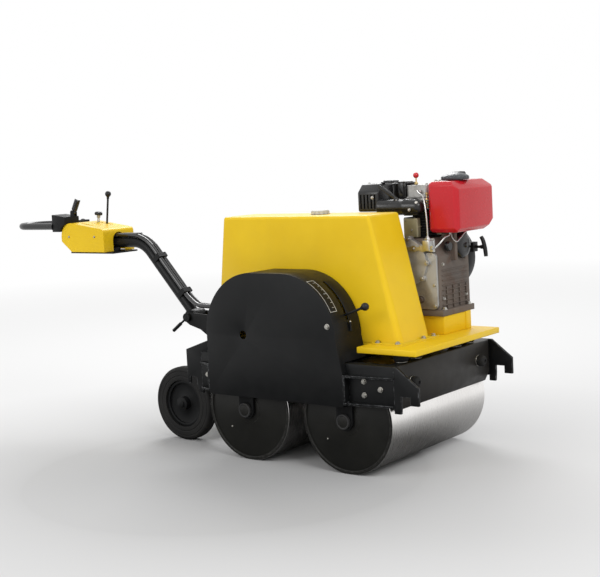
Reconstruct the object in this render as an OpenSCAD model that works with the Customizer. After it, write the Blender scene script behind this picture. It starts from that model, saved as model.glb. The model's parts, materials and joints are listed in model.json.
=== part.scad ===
// Walk-behind double-drum vibratory roller.
// Millimetres, +Z up, +X towards the front drum, +Y towards the engine side.
// Modules are drawn from the point on the ground midway between the drums,
// and row_frame() moves them so that the origin lies under the middle of the whole machine.

/* [Drums] */
// Outer diameter of a drum
drum_d = 425; // [400:5:450]
// Width of a drum
drum_w = 700; // [600:10:760]
// Wall of a drum shell
shell_t = 12; // [8:1:16]
// Distance between the two drum axles
wheelbase = 500; // [480:5:540]
// Thickness of a drum's end disc
web_t = 12; // [8:1:16]
// How far an end disc sits inside the rim of the shell
web_inset = 3; // [1:1:6]
// Diameter of the hub boss on an end disc
hub_d = 116; // [90:2:140]
// Diameter of the drum shafts
shaft_d = 45; // [35:1:55]

/* [Frame] */
// Gap between a drum's end and the side plate
side_gap = 4; // [3:1:10]
// Thickness of the side plates and hooks
plate_t = 12; // [8:1:16]
// Gap between a drum and the end of the lower frame
end_gap = 23.5; // [20:0.5:40]
// Height of the top of the lower frame above the drums
frame_over = 15; // [11:1:30]
// Height of the side plates with the top flange
side_h = 150; // [130:2:160]
// Thickness of the top flange
flange_t = 8; // [5:1:9]
// Width of the cross beams
beam_w = 50; // [40:1:60]
// Half the clear space between the two middle beams
beam_gap = 55; // [52:1:64]
// Height of the middle beams
beam_h = 47; // [40:1:52]
// Height of the end beams
end_beam_h = 102; // [90:1:106]
// Radius of the bearing arm round a drum shaft
arm_r = 38; // [34:1:46]

/* [End plates and hooks] */
// Half width of the front and rear plates
skirt_side_in = 10; // [0:2:40]
// Thickness of the front and rear plates
skirt_t = 8; // [5:1:10]
// Height of the end plates from the bend up
skirt_h = 134; // [120:2:144]
// Height of the lip below the bend
lip_h = 40; // [30:1:50]
// How far the lip leans in to the drum
lip_in = 20; // [12:1:24]
// How far the front hooks stand out of the frame
hook_reach = 108; // [90:2:150]
// How far the rear hooks stand out of the frame
rear_hook_reach = 86; // [70:2:110]
// Width of the notch in a hook
notch_w = 41; // [30:1:46]
// Height of the notch in a hook
notch_h = 31; // [20:1:36]
// Spacing of the two gussets of a corner bracket
gusset_gap = 107; // [90:1:120]

/* [Deck] */
// Height of the rubber mounts under the deck
mount_h = 35; // [25:1:50]
// Diameter of a rubber mount
mount_d = 60; // [40:2:70]
// Thickness of the deck plate
deck_t = 24; // [16:1:28]
// Distance of the deck's front edge from the middle between the drums
deck_front = 560; // [540:5:600]
// Distance of the deck's rear edge from the middle between the drums
deck_rear = 530; // [520:5:560]
// Half width of the deck at the front
deck_wide = 320; // [300:5:340]
// Half width of the deck between the side covers
deck_narrow = 220; // [205:5:230]
// Where the deck narrows, ahead of the side covers
deck_step = 290; // [284:2:300]

/* [Hood] */
// Height of the hood above the deck
hood_h = 501; // [480:1:540]
// Hood front at the base
hood_front = 428; // [415:1:440]
// Hood rear at the base
hood_rear = 508; // [495:1:512]
// Slant of the front face over the height
hood_front_in = 123; // [110:1:140]
// Slant of the rear face over the height
hood_rear_in = 52; // [40:2:66]
// Slant of the near side over the height
hood_side_in = 2; // [1:1:30]
// Radius of the hood's upper edges
hood_r = 14; // [8:1:24]
// Radius of the hood's front corners at the deck
hood_corner_r = 28; // [16:1:36]
// Sheet thickness of the hood
hood_t = 3; // [2:0.5:5]
// Distance of the water filler behind the middle between the drums
filler_x = 20; // [0:5:60]
// Diameter of the water cap
water_cap_d = 76; // [60:2:84]

/* [Side covers] */
// Outer face of a side cover from the side plate
cover_out_gap = 34; // [34:1:44]
// Sheet thickness of a side cover
cover_t = 4; // [2:0.5:4]
// How far the right cover hangs below the side plate
cover_drop = 15; // [5:1:25]
// Lower edge of the left cover, which also covers the chain
chain_case_low = 105; // [90:5:115]
// Gap between the left cover and the engine above it
chain_case_gap = 2; // [1:1:12]
// Front edge of the left cover
chain_case_front = 364; // [356:2:372]
// Radius of the left cover's upper corners
chain_case_r = 110; // [80:5:125]
// Front edge of a side cover
cover_front = 274; // [266:1:280]
// Rear edge of a side cover
cover_rear = 416; // [410:1:424]
// Radius of the rounded upper corners
cover_r = 254; // [245:1:258]
// Height of the centre of the rounded upper corners above the lower frame
cover_rise = 91; // [80:1:100]
// Diameter of the inspection hole
peep_d = 35; // [20:1:45]

/* [Travel drive] */
// Chain pitch
chain_pitch = 25.4; // [19.05:0.05:25.4]
// Teeth of a drum sprocket
drum_teeth = 20; // [18:1:22]
// Teeth of the motor sprocket
motor_teeth = 13; // [11:1:14]
// Motor and exciter axis below the top of the lower frame
exciter_drop = 68; // [64:1:74]
// Diameter of the hydraulic motor
motor_d = 90; // [70:2:100]

/* [Vibration drive] */
// Outer diameter of the exciter housing
exciter_d = 96; // [80:2:100]
// Diameter of the exciter shaft
exciter_shaft_d = 35; // [25:1:40]
// Groove diameter of the exciter's pulley
exciter_pulley_d = 90; // [80:2:96]
// Groove diameter of the intermediate shaft's output pulley
jack_out_d = 130; // [120:2:136]
// Distance of the intermediate shaft behind the middle
jack_x = 60; // [50:2:70]
// Height of the intermediate shaft above the deck
jack_h = 80; // [78:1:88]
// Groove diameter of the intermediate shaft's input pulley
jack_pulley_d = 90; // [80:2:100]
// Groove diameter of the engine pulley
pto_pulley_d = 74; // [66:2:78]

/* [Engine] */
// Height of the engine pedestal
pedestal_h = 75; // [65:1:95]
// Crankshaft axis ahead of the middle between the drums
crank_x = 300; // [290:1:304]
// Crankshaft height above the pedestal
crank_h = 216; // [208:1:228]
// Diameter of the fan housing
fan_d = 280; // [250:5:290]
// Height of the cylinder barrel
barrel_h = 118; // [100:2:130]
// Height of the cylinder head
head_h = 45; // [35:1:60]
// Height of the rocker cover
rocker_h = 52; // [40:1:60]
// Length of the fuel tank along the machine
tank_l = 141; // [125:1:150]
// Width of the fuel tank
tank_w = 300; // [260:5:310]
// Height of the fuel tank
tank_h = 206; // [170:2:216]
// Diameter of the muffler
muffler_d = 69; // [60:1:76]

/* [Handle] */
// Distance of the handle pivot behind the middle
pivot_x = 850; // [830:5:880]
// Height of the handle pivot
pivot_z = 530; // [520:2:545]
// Angle of the arm above the horizontal
arm_angle = 47.6; // [44:0.2:50]
// Outer diameter of the arm tube
arm_d = 50; // [42:1:56]
// Radius of the bend in the arm
bend_r = 150; // [120:5:170]
// Height of the arm's upper run
arm_top = 872; // [866:2:880]
// Diameter of a hose
hose_d = 20; // [14:1:22]
// Front face of the console
console_front = 1336; // [1326:2:1346]
// Length of the console
console_l = 304; // [290:2:320]
// Half width of the console
console_half = 100; // [92:2:110]
// Radius of the console's front edges
console_r = 18; // [12:1:22]
// Radius of the console's upper rear edge
console_rear_r = 68; // [50:1:74]
// Rearmost point of the loop handle
loop_rear = 2016; // [2000:2:2080]
// Half width of the loop handle, to the middle of its tube
loop_half = 100; // [85:1:104]
// Diameter of the loop handle's tube
loop_d = 34; // [28:1:38]

/* [Support wheels] */
// Diameter of a support wheel
wheel_d = 330; // [300:5:340]
// Width of a support wheel
wheel_w = 60; // [50:1:70]
// Axle of the support wheels behind the middle
wheel_x = 757; // [745:2:780]
// Inner face of a support wheel
wheel_in = 157; // [155:1:170]
// Diameter of the wheel axle
axle_d = 30; // [24:1:34]

/* [Hidden] */
$fn = 64;
hull_fn = 32;

// Clearances and overrun
over = 1;
run_fit = 0.05;
seat_gap = 0.3;
weld_gap = 0.2;

// Colours
yellow = [0.91, 0.77, 0.12];
black = [0.13, 0.13, 0.13];
dark = [0.2, 0.2, 0.19];
steel = [0.75, 0.75, 0.74];
alloy = [0.68, 0.68, 0.66];
red = [0.8, 0.12, 0.15];
rubber = [0.09, 0.09, 0.09];
brass = [0.78, 0.62, 0.3];

// Levels and planes worked out from the driving dimensions
axle_z = drum_d / 2;
axle_x = wheelbase / 2;
frame_top = drum_d + frame_over;
frame_low = frame_top - side_h;
skirt_bend = frame_top - skirt_h;
cover_low = frame_low - cover_drop;
cover_arc_z = frame_top + cover_rise;
exciter_z = frame_top - exciter_drop;
drum_half = drum_w / 2;
skirt_half = drum_half - skirt_side_in;
plate_in = drum_half + side_gap;
plate_out = plate_in + plate_t;
half_l = (wheelbase + drum_d) / 2 + end_gap;
frame_l = 2 * half_l;
cover_out = plate_out + cover_out_gap;
cover_in = deck_narrow + side_gap;
deck_low = frame_top + mount_h;
deck_top = deck_low + deck_t;
hood_top = deck_top + hood_h;
case_low = deck_top + pedestal_h;
chain_case_top = case_low - chain_case_gap;
beam_top = frame_top - flange_t;
skirt_out = half_l + skirt_t;
hook_front = half_l + hook_reach;
origin_x = (loop_rear - hook_front) / 2;
shaft_r = shaft_d / 2;
bolt_r = 9;
bolt_head = 7.5;
washer_t = 2;

// Moves a module's drawing into the frame of the whole machine
module row_frame() translate([origin_x, 0, 0]) children();

// Small drawing helpers: boxes, and cylinders and slabs along one axis
module box(lo, hi) translate(lo) cube(hi - lo);
module cyl_y(r, y0, y1, x, z) translate([x, y1, z]) rotate([90, 0, 0]) cylinder(r = r, h = y1 - y0);
module cyl_x(r, x0, x1, y, z) translate([x0, y, z]) rotate([0, 90, 0]) cylinder(r = r, h = x1 - x0);
module cyl_z(r, z0, z1, x, y) translate([x, y, z0]) cylinder(r = r, h = z1 - z0);
module slab_y(y0, y1) translate([0, y1, 0]) rotate([90, 0, 0]) linear_extrude(y1 - y0) children();
module slab_x(x0, x1) translate([x0, 0, 0]) rotate([90, 0, 90]) linear_extrude(x1 - x0) children();
module slab_z(z0, z1) translate([0, 0, z0]) linear_extrude(z1 - z0) children();
module both_sides() {
  children();
  mirror([0, 1, 0]) children();
}
module both_ends() {
  children();
  mirror([1, 0, 0]) children();
}

// A rectangle with round corners, from its lower left to its upper right corner
module round_rect(lo, hi, r) {
  translate([lo.x + r, lo.y]) square([hi.x - lo.x - 2 * r, hi.y - lo.y]);
  translate([lo.x, lo.y + r]) square([hi.x - lo.x, hi.y - lo.y - 2 * r]);
  for (x = [lo.x + r, hi.x - r], y = [lo.y + r, hi.y - r]) translate([x, y]) circle(r);
}

// A straight rod between two points, and a bent pipe with slightly thicker round joints
joint_share = 1.1;
module rod(p, q, r) {
  d = q - p;
  translate(p)
    rotate([0, acos(d.z / norm(d)), atan2(d.y, d.x)])
      cylinder(r = r, h = norm(d));
}
module pipe(points, r) {
  for (i = [0 : len(points) - 2]) rod(points[i], points[i + 1], r);
  for (i = [1 : len(points) - 2]) translate(points[i]) sphere(joint_share * r);
}

// Hexagon bolt head with its washer, standing on a face and pointing along +Z
module bolt() {
  cylinder(r = bolt_r + washer_t, h = washer_t);
  translate([0, 0, washer_t]) cylinder(r = bolt_r, h = bolt_head, $fn = 6);
}

// Points on an arc, and a closed loop laid round circles given as [x, z, radius]
arc_steps = 24;
function arc_points(c, r, a0, a1) =
  [for (i = [0 : arc_steps]) let (a = a0 + (a1 - a0) * i / arc_steps) c + r * [cos(a), sin(a)]];
function leave_angle(p, q) =
  let (d = [q[0] - p[0], q[1] - p[1]]) atan2(d.y, d.x) - acos((p[2] - q[2]) / norm(d));
function positive(a) = a < 0 ? a + 360 : a;
function loop_points(rings, grow) =
  [for (i = [0 : len(rings) - 1])
    let (n = len(rings), here = rings[i], last = rings[(i + n - 1) % n], next = rings[(i + 1) % n])
    let (a0 = leave_angle(last, here), turn = positive(leave_angle(here, next) - a0))
    for (p = arc_points([here[0], here[1]], here[2] + grow, a0, a0 + turn)) p];

// Lower frame

arm_hole_r = shaft_r + side_gap;
service_hole_r = 20;
lever_y = 300;
bracket_t = 8;
lever_pin_r = 8;
lever_hub_r = 18;
cover_lean = 25;
cover_arc_x = cover_front - cover_r - cover_lean;
rear_arc_x = cover_rear - cover_r;

module side_plate() {
  slab_y(plate_in, plate_out)
    difference() {
      union() {
        translate([-half_l, frame_low]) square([frame_l, beam_top - frame_low]);
        for (s = [-1, 1]) {
          translate([s * axle_x - arm_r, axle_z]) square([2 * arm_r, frame_low - axle_z + over]);
          translate([s * axle_x, axle_z]) circle(arm_r);
        }
      }
      for (s = [-1, 1]) translate([s * axle_x, axle_z]) circle(arm_hole_r);
      translate([0, exciter_z]) circle(service_hole_r);
    }
}

module end_beam() {
  wall = flange_t;
  difference() {
    box([half_l - beam_w, -plate_in, beam_top - end_beam_h], [half_l, plate_in, beam_top]);
    box([half_l - beam_w + wall, -plate_in - over, beam_top - end_beam_h + wall],
      [half_l - wall, plate_in + over, beam_top - wall]);
  }
}

module middle_beam() {
  wall = flange_t;
  difference() {
    box([beam_gap, -plate_in, beam_top - beam_h], [beam_gap + beam_w, plate_in, beam_top]);
    box([beam_gap + wall, -plate_in - over, beam_top - beam_h + wall],
      [beam_gap + beam_w - wall, plate_in + over, beam_top - wall]);
  }
}

module lever_bracket() {
  y1 = -lever_y - seat_gap - lever_hub_r / 2;
  foot = 1.5 * lever_hub_r;
  slab_y(y1 - bracket_t, y1) {
    translate([cover_arc_x - foot, frame_top]) square([2 * foot, cover_arc_z - frame_top]);
    translate([cover_arc_x, cover_arc_z]) circle(foot);
  }
  box([cover_arc_x - foot, -plate_out, beam_top], [cover_arc_x + foot, y1, frame_top]);
  cyl_y(lever_pin_r, y1 - over, -lever_y + lever_hub_r / 2 + bracket_t, cover_arc_x, cover_arc_z);
}

module main_frame() color(black) row_frame() {
  both_sides() side_plate();
  both_ends() end_beam();
  both_ends() middle_beam();
  both_sides() box([-half_l, plate_out - beam_w, beam_top], [half_l, plate_out, frame_top]);
  both_ends() box([half_l - beam_w, -plate_out, beam_top], [half_l, plate_out, frame_top]);
  both_ends() box([beam_gap, -plate_out, beam_top], [beam_gap + beam_w, plate_out, frame_top]);
  lever_bracket();
}

skirt_points = [
  [half_l, frame_top], [skirt_out, frame_top], [skirt_out, skirt_bend],
  [skirt_out - lip_in, skirt_bend - lip_h], [skirt_out - lip_in - skirt_t,
    skirt_bend - lip_h + skirt_t / 2],
  [half_l, skirt_bend + skirt_t / 2]];

module end_plates() color(dark) row_frame() both_ends() slab_y(-skirt_half,
  skirt_half) polygon(skirt_points);

// Hooks and corner brackets

hook_rise = 10;
hook_foot = frame_low + hook_rise;
hook_slope = 72;
hook_nose = 14;
hook_toe = 36;
rear_hook_rise = 50;
rear_hook_tail = 37;
gusset_drop = 5;
gusset_low = frame_low - gusset_drop;
gusset_front = half_l;

module front_hook() slab_y(plate_in, plate_out)
  polygon([
    [half_l, frame_top], [half_l + hook_nose, frame_top], [hook_front, frame_top - hook_slope],
    [hook_front, hook_foot], [hook_front - hook_toe, hook_foot], [hook_front - hook_toe,
      hook_foot + notch_h],
    [hook_front - hook_toe - notch_w, hook_foot + notch_h], [hook_front - hook_toe - notch_w, hook_foot],
    [half_l + 2 * hook_nose, hook_foot - hook_toe], [half_l, hook_foot - hook_toe]]);

module rear_hook() {
  rear_end = half_l + rear_hook_reach;
  toe = hook_nose;
  slab_y(plate_in, plate_out)
    polygon([
      [-half_l, hook_foot - hook_toe], [-half_l, frame_top], [-half_l + rear_hook_tail, frame_top],
      [-half_l + rear_hook_tail, frame_top + rear_hook_rise], [-rear_end, frame_top + hook_nose / 2],
      [-rear_end, hook_foot], [-rear_end + toe, hook_foot], [-rear_end + toe, hook_foot + notch_h],
      [-rear_end + toe + notch_w, hook_foot + notch_h], [-rear_end + toe + notch_w, hook_foot],
      [-half_l - hook_nose, hook_foot - hook_toe]]);
}

module corner_box(near_x) {
  low = gusset_low;
  high = gusset_low + gusset_gap;
  for (z = [low, high])
    slab_z(z, z + bracket_t)
      polygon([[near_x, plate_out], [near_x, cover_out], [gusset_front, plate_out + bracket_t],
        [gusset_front, plate_out]]);
  box([near_x, plate_out, low + bracket_t - over / 2], [near_x + bracket_t, cover_out, high + over / 2]);
}

module hook_brackets() color(black) row_frame() {
  both_sides() {
    front_hook();
    rear_hook();
    mirror([1, 0, 0]) corner_box(cover_rear + seat_gap);
  }
  corner_box(chain_case_front + seat_gap);
  mirror([0, 1, 0]) corner_box(cover_front + seat_gap);
}

// Rubber mounts and bump stops

buffer_y = 251;
buffer_rise = 76;
buffer_z = frame_low + buffer_rise;
buffer_d = 46;
buffer_l = 34;
mount_y = 250;
inner_mount_y = 150;

module rubber_mounts() color(rubber) row_frame() {
  both_sides() both_ends() cyl_z(mount_d / 2, frame_top, deck_low, half_l - mount_d / 2 - flange_t,
    inner_mount_y);
  both_sides() cyl_z(mount_d / 2, frame_top, deck_low, half_l - mount_d / 2 - flange_t, mount_y);
  both_sides() both_ends() cyl_z(mount_d / 2, frame_top, deck_low, beam_gap + beam_w / 2, inner_mount_y);
  both_sides() cyl_x(buffer_d / 2, skirt_out, skirt_out + buffer_l, buffer_y, buffer_z);
}

// Deck

deck_cut = 60;

deck_points = [
  [deck_front, deck_wide], [deck_step, deck_wide], [deck_step, deck_narrow],
  [-deck_rear + deck_cut, deck_narrow], [-deck_rear, deck_narrow - deck_cut], [-deck_rear,
    -deck_narrow + deck_cut],
  [-deck_rear + deck_cut, -deck_narrow], [deck_step, -deck_narrow], [deck_step, -deck_wide],
  [deck_front, -deck_wide]];

module deck() color(yellow) row_frame() slab_z(deck_low, deck_top) polygon(deck_points);

// Hood, water tank and its cap

crank_z = deck_top + pedestal_h + crank_h;
hood_near = deck_narrow - seat_gap;
hood_left = 0;
foot_t = 5;
foot_w = 20;
hood_foot_w = 24;
pto_hole_r = 26;
filler_y = 100;
neck_r = 28;
cap_h = 16;

module hood_form(t) {
  r = hood_r;
  hull() {
    for (x = [-hood_rear + hood_rear_in + r, hood_front - hood_front_in - r],
      y = [-hood_near + hood_side_in + r, hood_left - r])
      translate([x, y, hood_top - r]) sphere(r - t, $fn = hull_fn);
    box([-hood_rear + t, -hood_near + t, deck_top - (t > 0 ? over : 0)],
      [hood_front - hood_corner_r, hood_left - t, deck_top + foot_t]);
    for (y = [-hood_near + hood_corner_r, hood_left - hood_corner_r])
      translate([hood_front - hood_corner_r, y, deck_top - (t > 0 ? over : 0)])
        cylinder(r = hood_corner_r - t, h = foot_t + (t > 0 ? over : 0), $fn = hull_fn);
  }
}

module hood_foot() {
  slab_z(deck_top, deck_top + foot_t)
    polygon([
      [-hood_rear - hood_foot_w / 2, -hood_near], [deck_step, -hood_near], [deck_step + hood_foot_w,
        -hood_near - hood_foot_w],
      [hood_front + hood_foot_w, -hood_near - hood_foot_w], [hood_front + hood_foot_w,
        hood_left + hood_foot_w],
      [-hood_rear - hood_foot_w / 2, hood_left + hood_foot_w]]);
}

module hood() color(yellow) row_frame() {
  difference() {
    union() {
      hood_form(0);
      hood_foot();
    }
    hood_form(hood_t);
    cyl_z(water_cap_d / 2 + side_gap, hood_top - hood_r, hood_top + over, -filler_x, -filler_y);
    cyl_y(pto_hole_r, hood_left - hood_r, hood_left + over, crank_x, crank_z);
    cyl_y(jack_r + side_gap, -hood_near - over, -hood_near + hood_r, -jack_x, jack_z);
  }
}

jack_z = deck_top + jack_h;
tank_rear = hood_rear - hood_rear_in - 2 * side_gap;
tank_drop = 45;
neck_ahead = 53;
tank_top = hood_top - tank_drop;
tank_near = hood_near - hood_side_in - 3 * side_gap;
tank_left = hood_left - 3 * side_gap;
tank_step = jack_pulley_d / 2 + jack_x + 2 * foot_w;
tank_rise_share = [0.34, 0.4, 0.53];

function tank_z(share) = deck_top + share * (tank_top - deck_top);

module water_tank() color(alloy) row_frame() {
  front_x = neck_ahead - filler_x;
  slab_y(-tank_near, tank_left)
    polygon([
      [-tank_rear, deck_top], [-tank_step, deck_top], [-tank_step, tank_z(tank_rise_share[0])],
      [-tank_step + beam_w, tank_z(tank_rise_share[1])], [front_x, tank_z(tank_rise_share[2])],
      [front_x, tank_top], [-tank_rear, tank_top]]);
  cyl_z(neck_r, tank_top - over, hood_top + seat_gap, -filler_x, -filler_y);
}

module water_cap() color(black) row_frame() {
  low = hood_top + 2 * seat_gap;
  rim = water_cap_d / 2;
  difference() {
    union() {
      cyl_z(rim, low, low + cap_h - rim / 12, -filler_x, -filler_y);
      cyl_z(rim - rim / 12, low, low + cap_h, -filler_x, -filler_y);
    }
    for (a = [0 : 30 : 330])
      translate([-filler_x + rim * cos(a), -filler_y + rim * sin(a), low - over])
        cylinder(r = rim / 12, h = cap_h + 2 * over);
  }
}

// Side covers

slot_low_angle = 16;
slot_high_angle = 58;
slot_w = 14;
peep_x = 217;
boss_r = 12;
boss_z = frame_low + beam_w;
boss_x = half_l - rear_hook_reach - beam_w - hook_toe;
chain_cut = 45;

function cover_outline(i, low) = concat(
  [[cover_front - i, low + i], [cover_front - i, cover_arc_z - cover_r / 2]],
  arc_points([cover_arc_x, cover_arc_z], cover_r - i, 0, 90),
  arc_points([-rear_arc_x, cover_arc_z], cover_r - i, 90, 180),
  [[-cover_rear + i, low + i]]);

function chain_outline(i) = concat(
  [[chain_case_front - chain_cut - i / 2, chain_case_low + i],
    [chain_case_front - i, chain_case_low + chain_cut + i / 2],
   [chain_case_front - i, frame_top - chain_cut], [cover_front - foot_w - i, frame_top]],
  arc_points([cover_front - foot_w - chain_case_r, chain_case_top - chain_case_r], chain_case_r - i, 0, 90),
  arc_points([-cover_rear + chain_case_r, chain_case_top - chain_case_r], chain_case_r - i, 90, 180),
  [[-cover_rear + i, chain_case_low + chain_cut + i / 2],
    [-cover_rear + chain_cut + i / 2, chain_case_low + i]]);

// One pan: the outer plate, the rim round it, and the bosses that hold it off the side plate.
// Drawn on the +Y side; outer and inner are the outline and the outline one sheet further in.
module cover_pan(outer, inner, bosses) {
  face = cover_out - cover_t;
  slab_y(face, cover_out) polygon(outer);
  difference() {
    slab_y(cover_in, face + over / 2) difference() {
      polygon(outer);
      polygon(inner);
    }
    box([-frame_l, cover_in - over, 0], [frame_l, plate_out + seat_gap, frame_top + side_gap]);
  }
  for (x = bosses) cyl_y(boss_r, plate_out, face + over / 2, x, boss_z + boss_r);
}

module lever_slot(y0, y1) {
  slab_y(y0, y1)
    polygon(concat(
      arc_points([cover_arc_x, cover_arc_z], cover_r - 3 * cover_t, slot_low_angle, slot_high_angle),
      arc_points([cover_arc_x, cover_arc_z], cover_r + cover_t, slot_high_angle, slot_low_angle)));
}

module right_cover() color(black) row_frame()
  difference() {
    mirror([0, 1, 0]) cover_pan(cover_outline(0, cover_low), cover_outline(cover_t, cover_low),
      [-boss_x, boss_x / 2]);
    lever_slot(-lever_y - slot_w / 2, -lever_y + slot_w / 2);
    cyl_y(peep_d / 2, -cover_out - over, -cover_out + 2 * cover_t, -peep_x, cover_arc_z);
  }

module left_cover() color(black) row_frame()
  difference() {
    cover_pan(chain_outline(0), chain_outline(cover_t), [-boss_x, boss_x]);
    box([ped_rear - 2 * foot_w, cover_in - over, frame_top + side_gap],
      [chain_case_front, ped_far + foot_w / 2, case_low]);
  }

// Bolts of the frame, the covers and the hood's foot

cover_bolt_x = 215;
cover_bolt_up = 145;
niche_bolts = [[78, 84], [78, 31], [153, 58]];

module face_bolt_y(x, z, y) translate([x, y, z]) rotate([90, 0, 0]) bolt();
module face_bolt_x(x, y, z) translate([x, y, z]) rotate([0, 90, 0]) bolt();

module frame_bolts() color(steel) row_frame() {
  low = gusset_low + bracket_t;
  half_foot = hood_foot_w / 2;
  for (b = niche_bolts) {
    face_bolt_y(cover_front + b.x, low + b.y, -plate_out);
    mirror([0, 1, 0]) face_bolt_y(chain_case_front + b.x / 2, low + b.y, -plate_out);
  }
  both_sides() face_bolt_y(-cover_rear - hook_toe, low + gusset_gap / 2, -plate_out);
  for (x = [deck_step + 2 * foot_w, hood_front - foot_t])
    translate([x, -hood_near - half_foot, deck_top + foot_t]) bolt();
  for (y = [-hood_near / 3, hood_left])
    translate([hood_front + half_foot, y, deck_top + foot_t]) bolt();
  face_bolt_y(cover_bolt_x, frame_top + cover_bolt_up, -cover_out);
}

// Lever in the curved slot of the right cover

lever_rest_angle = 20.4;
lever_out = 99;
lever_reach = cover_r + lever_out;
lever_rod_r = 5;
lever_ball_r = 16;

module speed_lever() color(black) row_frame() {
  p = [cover_arc_x, -lever_y, cover_arc_z];
  way = [cos(lever_rest_angle), 0, sin(lever_rest_angle)];
  tip = p + lever_reach * way;
  difference() {
    union() {
      cyl_y(lever_hub_r, -lever_y - lever_hub_r / 2, -lever_y + lever_hub_r / 2, p.x, p.z);
      rod(p + (lever_pin_r + lever_rod_r / 2) * way, tip, lever_rod_r);
    }
    cyl_y(lever_pin_r + run_fit, -lever_y - lever_hub_r, -lever_y + lever_hub_r, p.x, p.z);
  }
  translate(tip) sphere(lever_ball_r);
}

// Drums

hub_in = 60;
core_r = 60;
core_t = 6;
bearing_t = 14;
bearing_r = 30;
sprocket_t = 5;
link_t = 2.5;
link_room = 7;
chain_y = cover_out - cover_t - link_room;

module drum_shell(x) color(steel) row_frame()
  difference() {
    cyl_y(drum_d / 2, -drum_half, drum_half, x, axle_z);
    cyl_y(drum_d / 2 - shell_t, -drum_half - over, drum_half + over, x, axle_z);
  }

module drum_core(x) color(black) row_frame() {
  web_out = drum_half - web_inset;
  both_sides() {
    cyl_y(drum_d / 2 - shell_t - weld_gap, web_out - web_t, web_out, x, axle_z);
    cyl_y(hub_d / 2, web_out - hub_in, drum_half, x, axle_z);
  }
  difference() {
    cyl_y(core_r, -web_out + web_t / 2, web_out - web_t / 2, x, axle_z);
    cyl_y(core_r - core_t, -web_out + hub_in, web_out - hub_in, x, axle_z);
  }
  cyl_y(shaft_r, -plate_out - bearing_t, -drum_half + over, x, axle_z);
  cyl_y(shaft_r, drum_half - over, chain_y + link_room / 2, x, axle_z);
}

function pitch_r(teeth) = chain_pitch / (2 * sin(180 / teeth));
tooth_h_share = 0.22;

// A sprocket's outline: straight-sided teeth on the pitch circle
function sprocket_points(teeth, r, h) =
  [for (i = [0 : teeth - 1], k = [0 : 3])
    let (a = 360 / teeth * (i + [-0.32, -0.12, 0.12, 0.32][k]), q = (k == 1 || k == 2) ? r + h / 6 : r - h)
      q * [cos(a), sin(a)]];

module drum_sprocket(x) color(steel) row_frame()
  difference() {
    union() {
      slab_y(chain_y - sprocket_t / 2, chain_y + sprocket_t / 2)
        translate([x, axle_z])
          polygon(sprocket_points(drum_teeth, pitch_r(drum_teeth), tooth_h_share * chain_pitch));
      cyl_y(shaft_r + hook_nose, plate_out + bearing_t + 1.5 * link_t, chain_y, x, axle_z);
    }
    cyl_y(shaft_r + weld_gap, plate_out, cover_out, x, axle_z);
  }

module front_drum_shell() drum_shell(axle_x);
module front_drum_core() drum_core(axle_x);
module front_drum_sprocket() drum_sprocket(axle_x);
module rear_drum_shell() drum_shell(-axle_x);
module rear_drum_core() drum_core(-axle_x);
module rear_drum_sprocket() drum_sprocket(-axle_x);

// Bearing housings of the drum shafts and of the intermediate shaft

jack_r = 15;
block_t = 20;
block_near = 205;
block_left = 88;
block_w = 70;

module bearing_housings() color(dark) row_frame() {
  both_sides() both_ends() difference() {
    cyl_y(bearing_r, plate_out, plate_out + bearing_t, axle_x, axle_z);
    cyl_y(shaft_r + run_fit, plate_out - over, cover_out, axle_x, axle_z);
  }
  for (y = [-block_near, -block_left])
    difference() {
      union() {
        box([-jack_x - block_w, y, deck_top], [-jack_x + block_w, y + block_t, deck_top + block_t]);
        cyl_y(block_w / 2, y, y + block_t, -jack_x, jack_z);
        box([-jack_x - block_w / 2, y, deck_top], [-jack_x + block_w / 2, y + block_t, jack_z]);
      }
      cyl_y(jack_r + run_fit, y - over, y + block_t + over, -jack_x, jack_z);
    }
}

// Travel drive: hydraulic motor, sprockets and chain

motor_back = 256;
motor_flange = 8;
motor_shaft_r = 12.5;

module travel_motor() color(dark) row_frame()
  difference() {
    union() {
      cyl_y(motor_d / 2, motor_back, plate_in, 0, exciter_z);
      cyl_y(motor_d / 2 + flange_t / 2, plate_in - motor_flange, plate_in, 0, exciter_z);
    }
    cyl_y(motor_shaft_r + run_fit, plate_in - 2 * motor_flange, plate_in + over, 0, exciter_z);
  }

module motor_sprocket() color(steel) row_frame() {
  slab_y(chain_y - sprocket_t / 2, chain_y + sprocket_t / 2)
    translate([0, exciter_z])
      polygon(sprocket_points(motor_teeth, pitch_r(motor_teeth), tooth_h_share * chain_pitch));
  cyl_y(motor_shaft_r, plate_in - 2 * motor_flange + seat_gap, chain_y + link_room / 2, 0, exciter_z);
}

chain_rings = [
  [-axle_x, axle_z, pitch_r(drum_teeth)], [axle_x, axle_z, pitch_r(drum_teeth)],
  [0, exciter_z, pitch_r(motor_teeth)]];
chain_band = 7;
chain_pin_r = 2.5;
chain_pin_out = 3.9;

// Points spaced along a closed outline, one pitch apart
function running_length(p, i) = i == 0 ? 0 : running_length(p, i - 1) + norm(p[i] - p[i - 1]);
chain_path = loop_points(chain_rings, chain_pin_out);
chain_pins = [for (i = [0 : 2 : len(chain_path) - 1]) chain_path[i]];

module drive_chain() color(steel) row_frame() {
  for (y = [chain_y - link_room / 2 - link_t, chain_y + link_room / 2])
    slab_y(y, y + link_t)
      difference() {
        polygon(loop_points(chain_rings, chain_band));
        polygon(loop_points(chain_rings, -chain_band));
      }
  for (p = chain_pins)
    cyl_y(chain_pin_r, chain_y - link_room / 2 - link_t, chain_y + link_room / 2 + link_t, p.x, p.y);
}

// Vibration drive: exciter, pulleys, belts and intermediate shaft

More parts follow.
